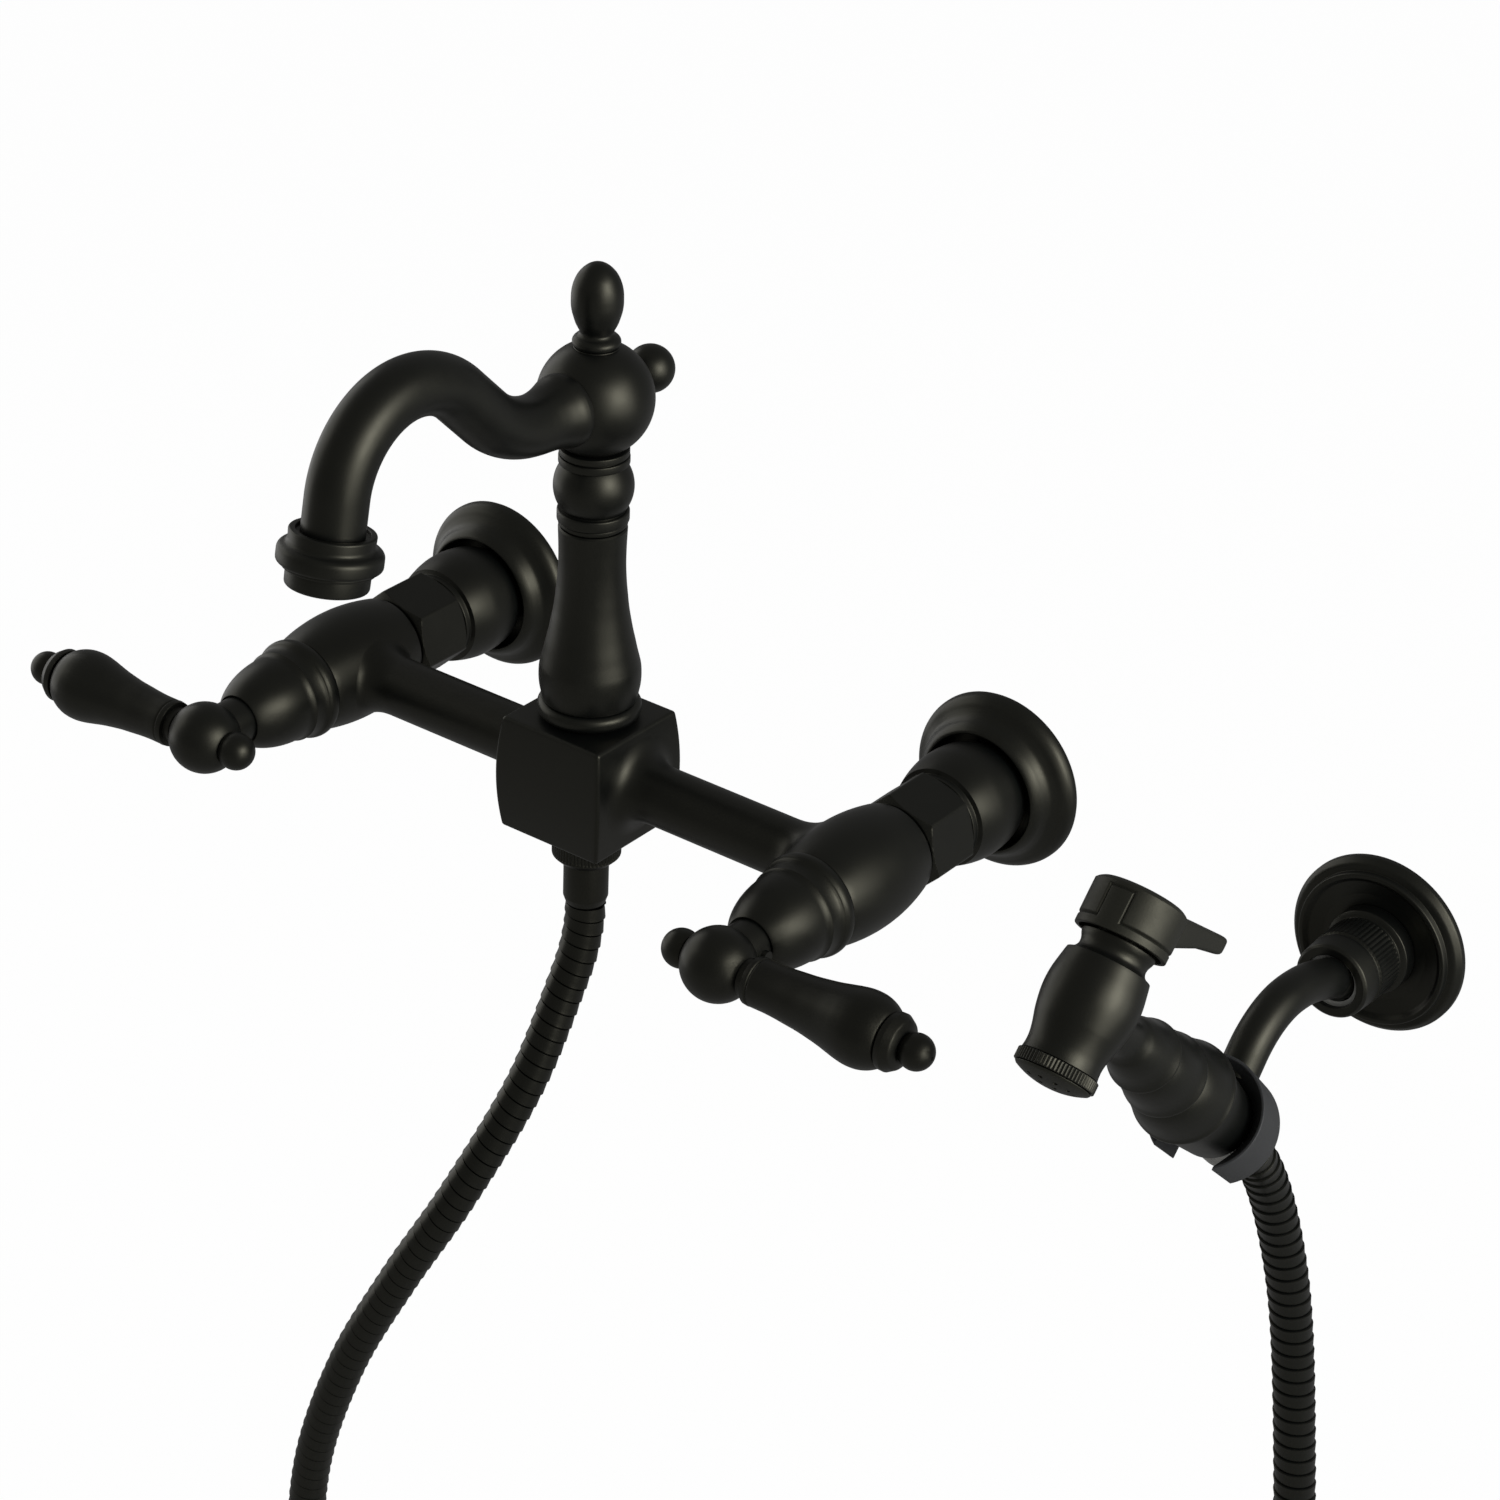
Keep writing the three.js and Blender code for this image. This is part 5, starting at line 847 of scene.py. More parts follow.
@dataclass(frozen=True)
class Bridge:
    """The casting between the valves: a pillowed block, two arms and two barrels."""

    block_half: Point = (19.1, 19.1, 19.4)
    block_middle: float = -0.9
    bulge: float = 1.6
    level_bulge: float = 0.2  # how much of it the top and the bottom have
    edge: float = 1.1
    seat_top: float = 19.2
    seat_bottom: float = -21.0
    seat_radius: float = 17.0
    arm: float = 9.6
    block_flare: Pair = (9.5, 7.6)  # reach along the arm, rise on the block
    barrel_flare: Pair = (8.5, 4.8)
    barrel: float = 18.2
    barrel_drop: float = 2.8
    barrel_half: float = 20.0
    barrel_lip: float = 0.35  # how far the barrel's ends stand back from its corners
    mouth: float = 14.9  # the radius at which both ends begin
    spigot: float = 12.2
    bores: Pair = (7.5, 11.0)  # radii, of the waterway and of the cartridge
    bore_floor: float = 71.9
    tail_end: float = 47.9
    buried: float = 4.0  # how far an arm runs on into the block
    poke: float = 3.0  # how far it runs on into the barrel

    def block(self) -> Form:
        """The block: a cube's six faces, drawn in to rounded edges and pushed out to soft pillows.

        A point p of the cube goes to its nearest point on a smaller inner box plus the edge radius in the
        direction from there to p. Each upright face then stands out by the bulge times a parabola of its
        height, and the block is cut flat under the column's ring and over the hose nut.
        """
        half, edge = np.array(self.block_half), self.edge
        inside = 1 - edge / half.max()
        round_edge = 1 - (edge - edge * np.tan(np.linspace(0, math.pi / 4, 6)[1:])) / half.max()
        share = np.concatenate([-round_edge[::-1], np.linspace(-inside, inside, 41), round_edge])
        count = len(share)
        u, v = np.meshgrid(share, share, indexing="ij")
        one = np.ones_like(u)
        faces = (one, u, v), (-one, v, u), (v, one, u), (u, -one, v), (u, v, one), (v, u, -one)
        cube = np.stack([np.stack(face, -1) for face in faces]) * half
        inner = np.clip(cube, -(half - edge), half - edge)
        away = cube - inner
        points = inner + edge * away / np.maximum(np.linalg.norm(away, axis=-1, keepdims=True), 1e-9)
        part = np.clip(points / half, -1, 1)
        lift = 1 - part**2
        level = self.level_bulge * lift[..., 0] * lift[..., 1]
        stand = part * self.bulge * np.stack([lift[..., 2], lift[..., 2], level], -1)
        points = points + stand + np.array([0, -AXIS_REACH, self.block_middle])
        near = np.hypot(points[..., 0], points[..., 1] + AXIS_REACH) < self.seat_radius
        z = points[..., 2]
        z = np.where(near, np.clip(z, self.seat_bottom, self.seat_top), z)
        points = np.concatenate([points[..., :2], z[..., None]], axis=-1)
        number = np.arange(6 * count * count).reshape(6, count, count)
        low, high = number[:, :-1], number[:, 1:]
        quads = np.stack([low[..., :-1], high[..., :-1], high[..., 1:], low[..., 1:]], axis=-1)
        return Form(points.reshape(-1, 3), quads.reshape(-1, 4), NO_FANS).outward()

    def arm_form(self, side: int) -> Form:
        """One arm, flared on to the block at one end and on to the barrel at the other.

        Each flare is a quadratic curve from the arm's line to the surface it meets, with its middle point
        where that line would reach the surface. On the barrel that surface, at (r cos t, r sin t) across
        the arm, is the barrel's own circle at that place along it.
        """
        t = np.linspace(0, TAU, 72, endpoint=False)[None, :]
        thin = np.full_like(t, self.arm)
        share = np.linspace(0, 1, 16)[:, None]

        def block_surface(radius: Array) -> Array:
            height = (radius * np.sin(t) - self.block_middle) / self.block_half[2]
            return self.block_half[0] + self.bulge * (1 - height**2)

        def barrel_surface(radius: Array) -> Array:
            size = self.barrel - self.barrel_drop * (radius * np.cos(t) / self.barrel_half) ** 2
            return HALF_SPREAD - np.sqrt(size**2 - (radius * np.sin(t)) ** 2)

        def flare(surface: Surface, length: float, rise: float, sink: float) -> tuple[Array, Array]:
            at, wide = surface(thin), thin + rise
            ways = (at + length, at, surface(wide) + sink), (thin, thin, wide)
            weights = (1 - share) ** 2, 2 * share * (1 - share), share**2
            return tuple(sum(weight * row for weight, row in zip(weights, way)) for way in ways)

        near_x, near_r = (rows[::-1] for rows in flare(block_surface, *self.block_flare, -0.02))
        length, rise = self.barrel_flare
        far_x, far_r = flare(barrel_surface, -length, rise, 0.05)
        x = np.concatenate([near_x[:1] - self.buried, near_x, far_x, far_x[-1:] + self.poke])
        radius = np.concatenate([near_r[:1] - 1, near_r, far_r, far_r[-1:] - 1])
        return loft(np.stack([side * x, radius * np.cos(t) - AXIS_REACH, radius * np.sin(t)], axis=-1))

    def barrel_form(self, side: int) -> Form:
        """One barrel: a parabola along it, with the cartridge's and the inlet's bores and the rear tail."""
        share = np.linspace(-1, 1, 33)
        along, radius = AXIS_REACH + self.barrel_half * share, self.barrel - self.barrel_drop * share**2
        swell = np.column_stack([along, radius])
        swell[[0, -1], 0] += self.barrel_lip, -self.barrel_lip
        rear, front = AXIS_REACH - self.barrel_half, AXIS_REACH + self.barrel_half
        way, chamber = self.bores
        end, spigot, bevel = self.tail_end, self.spigot, 0.6
        tail = [(end, way), (end, spigot - bevel), (end + bevel, spigot), (rear, spigot), (rear, self.mouth)]
        floor = self.bore_floor
        front_end = [(front, self.mouth), (front, chamber), (floor, chamber), (floor, way)]
        return turned(outline(tail, swell, front_end), valve_axis(side), loop=True)

    def build(self) -> None:
        """Makes the casting as one piece."""
        form = self.block()
        for side in (-1, 1):
            form = form + self.arm_form(side) + self.barrel_form(side)
        make_piece("bridge_casting", form, SATIN_BLACK, "root", "bridge_body", sharp=28)


@dataclass(frozen=True)
class Inlet:
    """One inlet, from the barrel to the wall: the hexagonal union nut, the coupling and the flange."""

    side: int
    nut_rear: float = 36.3
    nut_front: float = 57.3
    nut_flats: float = 29.4
    nut_corner: float = 43.6  # degrees, from the side towards the top
    nut_bevel: Pair = (1.7, 0.35)  # along the nut, and below its flats
    nut_bore: float = 12.6
    nut_throat: float = 9.9

    def nut(self) -> Form:
        """The union nut: a hexagon whose corners are cut by a cone at both ends."""
        length, depth = self.nut_bevel
        low, high = self.nut_flats / 2 - depth, self.nut_flats / 2 / math.cos(math.pi / 6) + 0.1
        share = np.linspace(0, 1, 10)
        rear = np.column_stack([self.nut_rear + length * share, low + (high - low) * share])
        front = np.column_stack([self.nut_front - length * share, low + (high - low) * share])[::-1]
        step, bore_size, throat = self.nut_rear + 5.6, self.nut_bore, self.nut_throat
        inside = [(self.nut_front, bore_size), (step, bore_size), (step, throat), (self.nut_rear, throat)]
        shape = Hexagon(self.nut_flats, self.nut_corner, edge=1.3, floor=13.5)
        return turned(outline(rear, front, inside), valve_axis(self.side), shape.angles(), shape, loop=True)

    def coupling(self) -> Form:
        """The wall coupling: a shank, a bell and a collar, bored through."""
        bell = through([
            (9.2, 14.9), (10.6, 16.2), (14, 17.5), (17, 18.05), (20, 18.3), (24, 18.3), (27.4, 17.8),
            (30.4, 17.1), (33.4, 16.2),
        ])
        shank = rounded([(0.2, 13, 0), (8.6, 13, 0.6), (9.2, 14.9, 0)])
        collar = rounded([
            (33.4, 16.2, 0), (33.9, 14.7, 0.3), (36.0, 14.7, 0.4), (36.0, 9.6, 0), (46, 9.6, 0),
            (46, 7.5, 0), (0.2, 7.5, 0),
        ])
        return turned(outline(shank, bell, collar), valve_axis(self.side), loop=True)

    def flange(self) -> Form:
        """The flange: a lip on the wall, an ogee, and a rolled mouth round the coupling."""
        ogee = through([
            (0.9, 29.0), (2.2, 28.95), (3.8, 28.4), (5.4, 27.0), (6.6, 25.3), (7.9, 23.8), (9.4, 22.9),
            (11.0, 22.2), (12.3, 21.3), (13.05, 20.5), (13.2, 19.9), (12.8, 19.5),
        ])
        inside = [(11.4, 19.6), (9.2, 20.2), (6.2, 21.8), (3.0, 23.2), (3.0, 12.9), (0.2, 12.9), (0.2, 28.6)]
        return turned(outline(ogee, inside), valve_axis(self.side), ring_angles(128), loop=True)

    def build(self) -> None:
        """Makes the three pieces."""
        end = end_name(self.side)
        make_piece(f"union_nut_{end}.cut", self.nut(), SATIN_BLACK, "root", sharp=24)
        make_coated("root", {f"wall_coupling_{end}.turned": self.coupling()})
        make_coated("root", {f"wall_flange_{end}.spun": self.flange()})


# ---------------- valves and handles


@dataclass(frozen=True)
class Valve:
    """One valve's bonnet and its handle: ball and collar, lever, washer, end balls and set screw."""

    side: int
    dome_start: float = 110.0
    dome_radius: float = 14.3
    dome_half: float = 23.5
    nose: float = 129.0
    hub_reach: float = 144.0
    hub_radius: float = 11.4
    collar_radius: float = 7.7
    seat: float = 10.2
    tip_radius: float = 5.5
    tip_centre: float = 69.7
    tip_mark: float = 0.6  # the radius of the turning centre in the ball
    counter_radius: float = 6.0
    counter_centre: float = 13.4
    screw_reach: float = 132.2
    screw_radius: float = 1.9
    screw_hole: float = 2.15
    screw_span: Pair = (5.0, 9.0)  # from the hole's floor to beyond the collar

    def across(self, reach: float, way: int = 1) -> Place:
        """On the valve's axis, this far from the wall, measured sideways: outwards, or inwards for -1."""
        return Place((self.side * HALF_SPREAD, -reach, 0), (float(way * self.side), 0, 0), (0, 0, 1))

    @property
    def lever(self) -> Place:
        """At the ball's centre, measured outwards along the lever."""
        return self.across(self.hub_reach)

    def bonnet(self) -> Form:
        """The bonnet: a bead against the barrel, a cove, and an elliptical dome cut off by the nose."""
        bead = through([
            (99.2, 15.6), (99.5, 16.1), (100.3, 16.5), (101.4, 16.65), (102.6, 16.5), (103.5, 16.1),
        ])
        cove = through([(103.7, 15.85), (104.6, 15.35), (105.8, 15.05), (107.2, 14.9), (108.1, 14.9)])
        along = np.linspace(self.dome_start, self.nose - 0.4, 26)
        share = (along - self.dome_start) / self.dome_half
        dome = np.column_stack([along, self.dome_radius * np.sqrt(1 - share**2)])
        nose = rounded([
            (dome[-1, 0], dome[-1, 1], 0), (self.nose, 8.35, 0.2), (self.nose, 8.0, 0.2), (128.1, 8.0, 0),
            (128.1, 4.5, 0),
        ])
        inside = [(116.5, 4.5), (116.5, 8.2), (106.5, 11.0), (99.2, 11.0)]
        lip = [(108.3, 15.1), (108.6, 15.1), (109.0, 14.75)]
        return turned(outline(bead, cove, lip, dome[1:], nose, inside), valve_axis(self.side), loop=True)

    def hub(self) -> Form:
        """The handle's ball with its two flats, and the collar that dips into the bonnet's nose."""
        ball = ball_line(0, self.hub_radius, -self.seat, self.seat, 48)
        shape = turned(outline([(-self.seat, 0)], ball, [(self.seat, 0)]), self.lever)
        foot = rounded([
            (127.9, 0, 0), (127.9, self.collar_radius, 0.35), (137.4, self.collar_radius, 0), (137.4, 0, 0),
        ])
        return shape + turned(foot, valve_axis(self.side))

    def grip(self) -> Form:
        """The lever: a neck, a thin ring, and a long swell that rounds over at its end."""
        neck = rounded([
            (10.3, 0, 0), (10.3, 5.9, 0.2), (12.6, 5.9, 0.1), (12.9, 7.35, 0.25), (14.6, 7.55, 0.3),
            (15.0, 7.15, 0.1), (15.6, 7.45, 0.3), (16.6, 7.45, 0),
        ])
        swell = through([
            (16.6, 7.45), (20, 7.45), (24, 7.65), (28, 8.0), (32, 8.35), (36, 8.9), (40, 9.55), (44, 10.4),
            (47, 11.05), (50, 11.5), (52.2, 11.55), (54.5, 11.3), (57, 10.5), (58.8, 9.5), (60.0, 8.5),
            (60.5, 7.6),
        ])
        return turned(outline(neck, swell, [(60.5, 0)]), self.lever)

    def washer(self) -> Form:
        """The washer at the lever's end: a short band and a coned face."""
        line = rounded([
            (60.8, 0, 0), (60.8, 8.8, 0.25), (62.7, 8.85, 0.15), (65.1, 7.4, 1.4), (66.0, 5.0, 0.3),
            (66.0, 0, 0),
        ])
        return turned(line, self.lever)

    def tip(self) -> Form:
        """The ball on the lever's end, with a small turning centre in it."""
        end = self.tip_centre + math.sqrt(self.tip_radius**2 - self.tip_mark**2)
        ball = ball_line(self.tip_centre, self.tip_radius, self.tip_centre - 4.6, end, 36)
        stem, centre_hole = [(65.4, 0), (65.4, 3.0)], [(end - 0.5, 0.35), (end - 0.6, 0)]
        return turned(outline(stem, ball, centre_hole), self.lever)

    def counter(self) -> Form:
        """The ball on the hub's other side."""
        end = self.counter_centre + self.counter_radius
        ball = ball_line(self.counter_centre, self.counter_radius, 10.5, end, 40)
        return turned(outline([(10.4, 0)], ball), self.across(self.hub_reach, -1))

    def screw(self) -> Form:
        """The set screw in the collar: a crowned end with a socket."""
        r, end = self.screw_radius, self.collar_radius + 0.15
        crown = [(4, 0, 0), (4, r, 0), (end - 0.3, r, 0.3), (end, 1.2, 0.1)]
        socket = [(end - 0.1, 1.0, 0), (end - 1.5, 1.0, 0), (end - 1.5, 0, 0)]
        angles = ring_angles(48, range(30, 360, 60), spread=2.4)
        return turned(rounded([*crown, *socket]), self.across(self.screw_reach), angles)

    def build(self) -> None:
        """Makes the bonnet on the frame's root and the handle's pieces on its own body."""
        end = end_name(self.side)
        body = f"handle_{end}"
        make_coated("root", {f"bonnet_{end}.turned": self.bonnet()})
        hub = make_piece(f"handle_hub_{end}.turned", self.hub(), SATIN_BLACK, body)
        (floor, out), r = self.screw_span, self.screw_hole
        drill = np.array([(floor, 0), (floor, r), (out, r), (out, 0)])
        bore(hub, turned(drill, self.across(self.screw_reach), ring_angles(32)))
        make_piece(f"set_screw_{end}.turned", self.screw(), BRIGHT_STEEL, body)
        parts = {"lever_grip": self.grip, "lever_washer": self.washer, "lever_tip": self.tip}
        parts |= {"counter_ball": self.counter}
        make_coated(body, {f"{name}_{end}.turned": form() for name, form in parts.items()})


# ---------------- column and spout


@dataclass(frozen=True)
class Column:
    """The turned column over the block, the knuckle, the ball hub, its finial and its knob."""

    hub_height: float = 125.3
    hub_radius: float = 17.85
    hub_foot: float = 15.5  # how far below its middle the hub's lower flat is
    hub_seat: float = 16.5  # and how far above it the upper one
    knob_reach: float = 26.1
    knob_radius: float = 7.5
    knob_rise: float = 0.8
    knob_neck: float = 4.3
    knuckle_height: float = 96.8
    knuckle_radius: float = 12.3
    knuckle_half: float = 7.3
    place: Place = Place((0, -AXIS_REACH, 0), (0, 0, 1))  # upwards from the valves' height

    def ring(self) -> Form:
        """The ring nut on the block."""
        return hollow([(19.5, 9.1, 0), (19.5, 16.2, 1.9), (24.6, 16.2, 2.3), (24.6, 9.1, 0)], self.place, 128)

    def vase(self) -> Form:
        """The column: a belly above the ring that runs out into a slender neck, on a tail in the block."""
        belly = through([
            (25.0, 14.6), (26.0, 14.9), (28.0, 15.35), (30.5, 15.75), (33.5, 15.85), (36.2, 15.65),
            (38.4, 15.15), (41, 14.5), (44, 13.85), (48, 12.95), (52, 12.2), (56, 11.55), (60, 11.1),
            (64, 10.7), (70, 10.35), (76, 10.35), (82.9, 10.6),
        ])
        tail = [(6.7, 5.4), (6.7, 8.8), (24.8, 8.8), (24.8, 14.3)]
        spigot = [(83.4, 10.1), (83.4, 6.8), (89, 6.8), (89, 5.4)]
        return turned(outline(tail, belly, spigot), self.place, loop=True)

    def knuckle(self) -> Form:
        """A ring, a ball and a ring."""
        low = rounded([
            (83.7, 7.1, 0), (83.7, 9.7, 0), (84.2, 9.7, 0), (84.2, 10.6, 0.35), (85.4, 10.6, 0.2),
            (85.6, 10.0, 0), (85.6, 11.05, 1.7), (89.2, 11.05, 1.7), (89.2, 9.9, 0), (89.5, 9.9, 0),
        ])
        middle, half = self.knuckle_height, self.knuckle_half
        ball = ball_line(middle, self.knuckle_radius, middle - half, middle + half, 36)
        high = rounded([
            (104.1, 9.9, 0), (104.4, 9.9, 0), (104.4, 10.85, 1.2), (107.0, 10.85, 1.2), (107.0, 10.0, 0),
            (107.4, 10.0, 0), (107.4, 10.7, 0.3), (109.5, 10.7, 0.3), (109.5, 7.1, 0),
        ])
        return turned(outline(low, ball, high), self.place, loop=True)

    def hub(self) -> Form:
        """The ball hub with its two flats."""
        middle = self.hub_height
        ball = ball_line(middle, self.hub_radius, middle - self.hub_foot, middle + self.hub_seat, 64)
        low, high = ball[0], ball[-1]
        return turned(outline([(low[0], 0)], ball, [(high[0], 0)]), self.place, ring_angles(128))

    def finial(self) -> Form:
        """The finial: a step, a bead, a waist and an egg."""
        foot = rounded([(140.9, 0, 0), (140.9, 6.9, 0.1), (142.1, 6.9, 0.5), (142.1, 6.5, 0)])
        bead = through([
            (142.2, 6.6), (142.6, 7.05), (143.4, 7.3), (144.2, 7.15), (145.0, 6.5), (145.7, 5.55),
            (146.4, 5.15), (147.2, 5.3), (148.3, 5.85), (149.6, 6.45), (151.3, 7.0), (153.1, 7.5),
            (155, 7.78), (157, 7.82), (158.8, 7.75), (160.7, 7.45), (162.6, 6.85), (164.5, 5.9),
            (166.2, 4.5), (167.4, 3.0), (168.1, 1.5), (168.35, 0),
        ])
        return turned(outline(foot, bead), self.place)

    def knob(self) -> Form:
        """The knob behind the hub: a ball on a short neck."""
        place = Place((0, -AXIS_REACH, self.hub_height + self.knob_rise), (0, 1, 0))
        thin, thick = self.knob_neck, self.knob_neck + 0.5
        neck = rounded([
            (16.0, 0, 0), (16.0, thick, 0), (18.2, thick, 0.3), (18.6, thin, 0.2), (20.2, thin, 0),
        ])
        near = self.knob_reach - math.sqrt(self.knob_radius**2 - thin**2)
        ball = ball_line(self.knob_reach, self.knob_radius, near, self.knob_reach + self.knob_radius, 40)
        return turned(outline(neck, ball), place)

    def build(self) -> None:
        """Makes the ring on the frame's root and the rest on the spout."""
        make_coated("root", {"spout_nut.turned": self.ring()})
        parts = {"spout_column": self.vase, "spout_knuckle": self.knuckle, "spout_hub": self.hub}
        parts |= {"hub_finial": self.finial, "hub_knob": self.knob}
        make_coated("spout", {f"{name}.turned": form() for name, form in parts.items()})


@dataclass(frozen=True)
class Gooseneck:
    """The bent tube from the hub, with the collar and the aerator on its end."""

    height: float = 126.1
    radius: float = 9.2
    start: float = 12.0
    bends: tuple[Pair, ...] = (
        (13.0, 0), (37.2, 43.8), (15.7, 0), (32.2, -43.8), (28.9, -79.4), (17.5, 0),
    )
    mouth: tuple[Corner, ...] = ((12.0, 10.5, 0), (14.1, 10.6, 0.1), (14.25, 11.4, 0.3), (15.6, 11.4, 0))
    flare: tuple[Pair, ...] = (
        (15.8, 11.4), (17.2, 11.15), (19.5, 10.45), (22.5, 9.75), (26, 9.35), (30, 9.2),
    )
    tilt: float = 10.6  # degrees that the outlet leans from straight down
    slots: int = 18
    slot_ring: Pair = (5.2, 8.6)
    slot_depth: float = 1.2
    slot_fade: float = 0.5  # how far a slot's ends slope
    screen_radius: float = 9.9
    screen_face: float = -6.9

    def line(self) -> Array:
        """The tube's middle line, in the plane of the spout."""
        flat = route((self.start, 0), 0, self.bends)
        return np.column_stack([0 * flat[:, 0], -AXIS_REACH - flat[:, 0], self.height + flat[:, 1]])

    def tube(self) -> Form:
        """The tube, wider at its foot by a curve of radius against the distance along it."""
        line = self.line()
        run = self.start + run_along(line)
        foot = outline(rounded(self.mouth), through(self.flare))
        keep = run > self.flare[-1][0]
        centres = np.concatenate([resampled(line, run, foot[:, 0]), line[keep]])
        sizes = np.concatenate([foot[:, 1], np.full(keep.sum(), self.radius)])
        return piped(centres, sizes, (1, 0, 0), sides=72)

    @property
    def outlet(self) -> Place:
        """At the tube's end, measured back up along it."""
        tilt = math.radians(self.tilt)
        end = self.line()[-1]
        return Place(tuple(end.tolist()), (0, math.sin(tilt), math.cos(tilt)))

    def collar(self) -> Form:
        """The collar: a thin rim round the tube, a large bead and a small one above the aerator."""
        rim = [(7.2, 9.0, 0), (7.2, 10.3, 0.1), (8.3, 10.6, 0.3), (8.3, 12.5, 0.7), (4.3, 12.3, 1.5)]
        beads = [
            (3.1, 15.2, 2.0), (-1.7, 15.2, 2.2), (-1.75, 13.0, 0.05), (-1.8, 13.55, 0.35),
            (-2.9, 13.5, 0.5), (-2.95, 12.5, 0),
        ]
        seat = [(-2.95, 10.0, 0), (-4.3, 10.0, 0), (-4.3, 6.5, 0), (0.2, 6.5, 0), (0.2, 9.0, 0)]
        return hollow([*rim, *beads, *seat], self.outlet, 112)

    def shell(self) -> Form:
        """The aerator's shell: a plain ring, rounded at its lower edge."""
        corners = [
            (-1.75, 10.2, 0), (-1.75, 12.15, 0.3), (-8.2, 12.05, 0.9), (-8.2, 9.6, 0.5), (-7.2, 9.2, 0.2),
            (-7.2, 10.2, 0),
        ]
        return hollow(corners, self.outlet, 112)

    def screen(self) -> Form:
        """The screen: a disc with slots, sunk where a cosine round it and a ring across it are high."""
        inner, outer = self.slot_ring

        def slots(angles: Array, along: Array, radius: Array) -> tuple[Array, Array]:
            inward, outward = (radius - inner) / self.slot_fade, (outer - radius) / self.slot_fade
            wave = np.clip(2.5 * np.cos(self.slots * angles) + 0.3, 0, 1)
            depth = self.slot_depth * np.clip(inward, 0, 1) * np.clip(outward, 0, 1) * wave
            return along + depth * (along < self.screen_face + self.slot_depth), radius

        face = np.column_stack([np.full(60, self.screen_face), np.linspace(self.screen_radius, 0, 60)])
        line = outline([(-4.7, 0), (-4.7, self.screen_radius)], face)
        return turned(line, self.outlet, ring_angles(12 * self.slots), slots)

    def build(self) -> None:
        """Makes the four pieces on the spout."""
        make_coated("spout", {"spout_tube.bent": self.tube(), "outlet_collar.turned": self.collar()})
        make_coated("spout", {"aerator_shell.turned": self.shell()})
        make_piece("aerator_screen.moulded", self.screen(), MOULDED_BLACK, "spout")


# ---------------- hose connections


@dataclass(frozen=True)
class HoseUnion:
    """A knurled nut and the crimped ferrule behind it, on the end of the hose."""

    name: str
    body: str
    place: Place
    start: float
    nut_radius: float
    nut_finish: Finish
    nut_length: float = 15.0
    ribs: int = 60
    rib_depth: float = 0.32
    shoulder: float = 0.7
    ferrule_radius: float = 7.2
    ferrule_length: float = 12.5

    def nut(self) -> Form:
        """The nut: straight ribs between two plain chamfered ends."""
        a, b, r, s = self.start, self.start + self.nut_length, self.nut_radius, self.shoulder
        near = rounded([(a, 7.3, 0), (a, r - 0.7, 0.1), (a + 0.7, r, 0.15), (a + 1.3, r, 0)])
        rows = level(a + 1.4, b - s - 0.7, r, 12)
        far = rounded([
            (b - s - 0.6, r, 0), (b - s, r, 0.5 * s), (b, r - s, 0.3 * s), (b, 6.1, 0), (b - 3, 6.1, 0),
            (b - 3, 7.3, 0),
        ])
        knurl = Knurl(a + 0.9, b - s - 0.2, self.ribs, self.rib_depth, floor=r - 0.5)
        return turned(outline(near, rows, far), self.place, knurl.angles(), knurl, loop=True)

    def ferrule(self) -> Form:
        """The ferrule: a plain sleeve that tapers where it is crimped on the hose."""
        a = self.start + self.nut_length + 0.3
        b, r = a + self.ferrule_length, self.ferrule_radius
        corners = [
            (a - 3, 3.4, 0), (a - 3, 5.8, 0), (a, 5.8, 0), (a, r, 0.5), (b - 2.6, r, 0.8),
            (b - 0.4, r - 0.75, 0.4), (b, 6.0, 0.1), (b, 3.4, 0),
        ]
        return hollow(corners, self.place)

    def build(self) -> None:
        """Makes both pieces."""
        make_piece(f"{self.name}_nut.knurled", self.nut(), self.nut_finish, self.body)
        make_coated(self.body, {f"{self.name}_ferrule.crimped": self.ferrule()})


# ---------------- the hand spray

SLANT = math.sqrt(0.5)
SPRAY_ORIGIN = (237.8, -165.9, 54.3)
SPRAY_UP = Place(SPRAY_ORIGIN, (0, SLANT, SLANT))  # towards the cap; its third direction is the handle's
SPRAY_BACK = Place(SPRAY_ORIGIN, (0, SLANT, -SLANT))  # along the handle, towards its tail


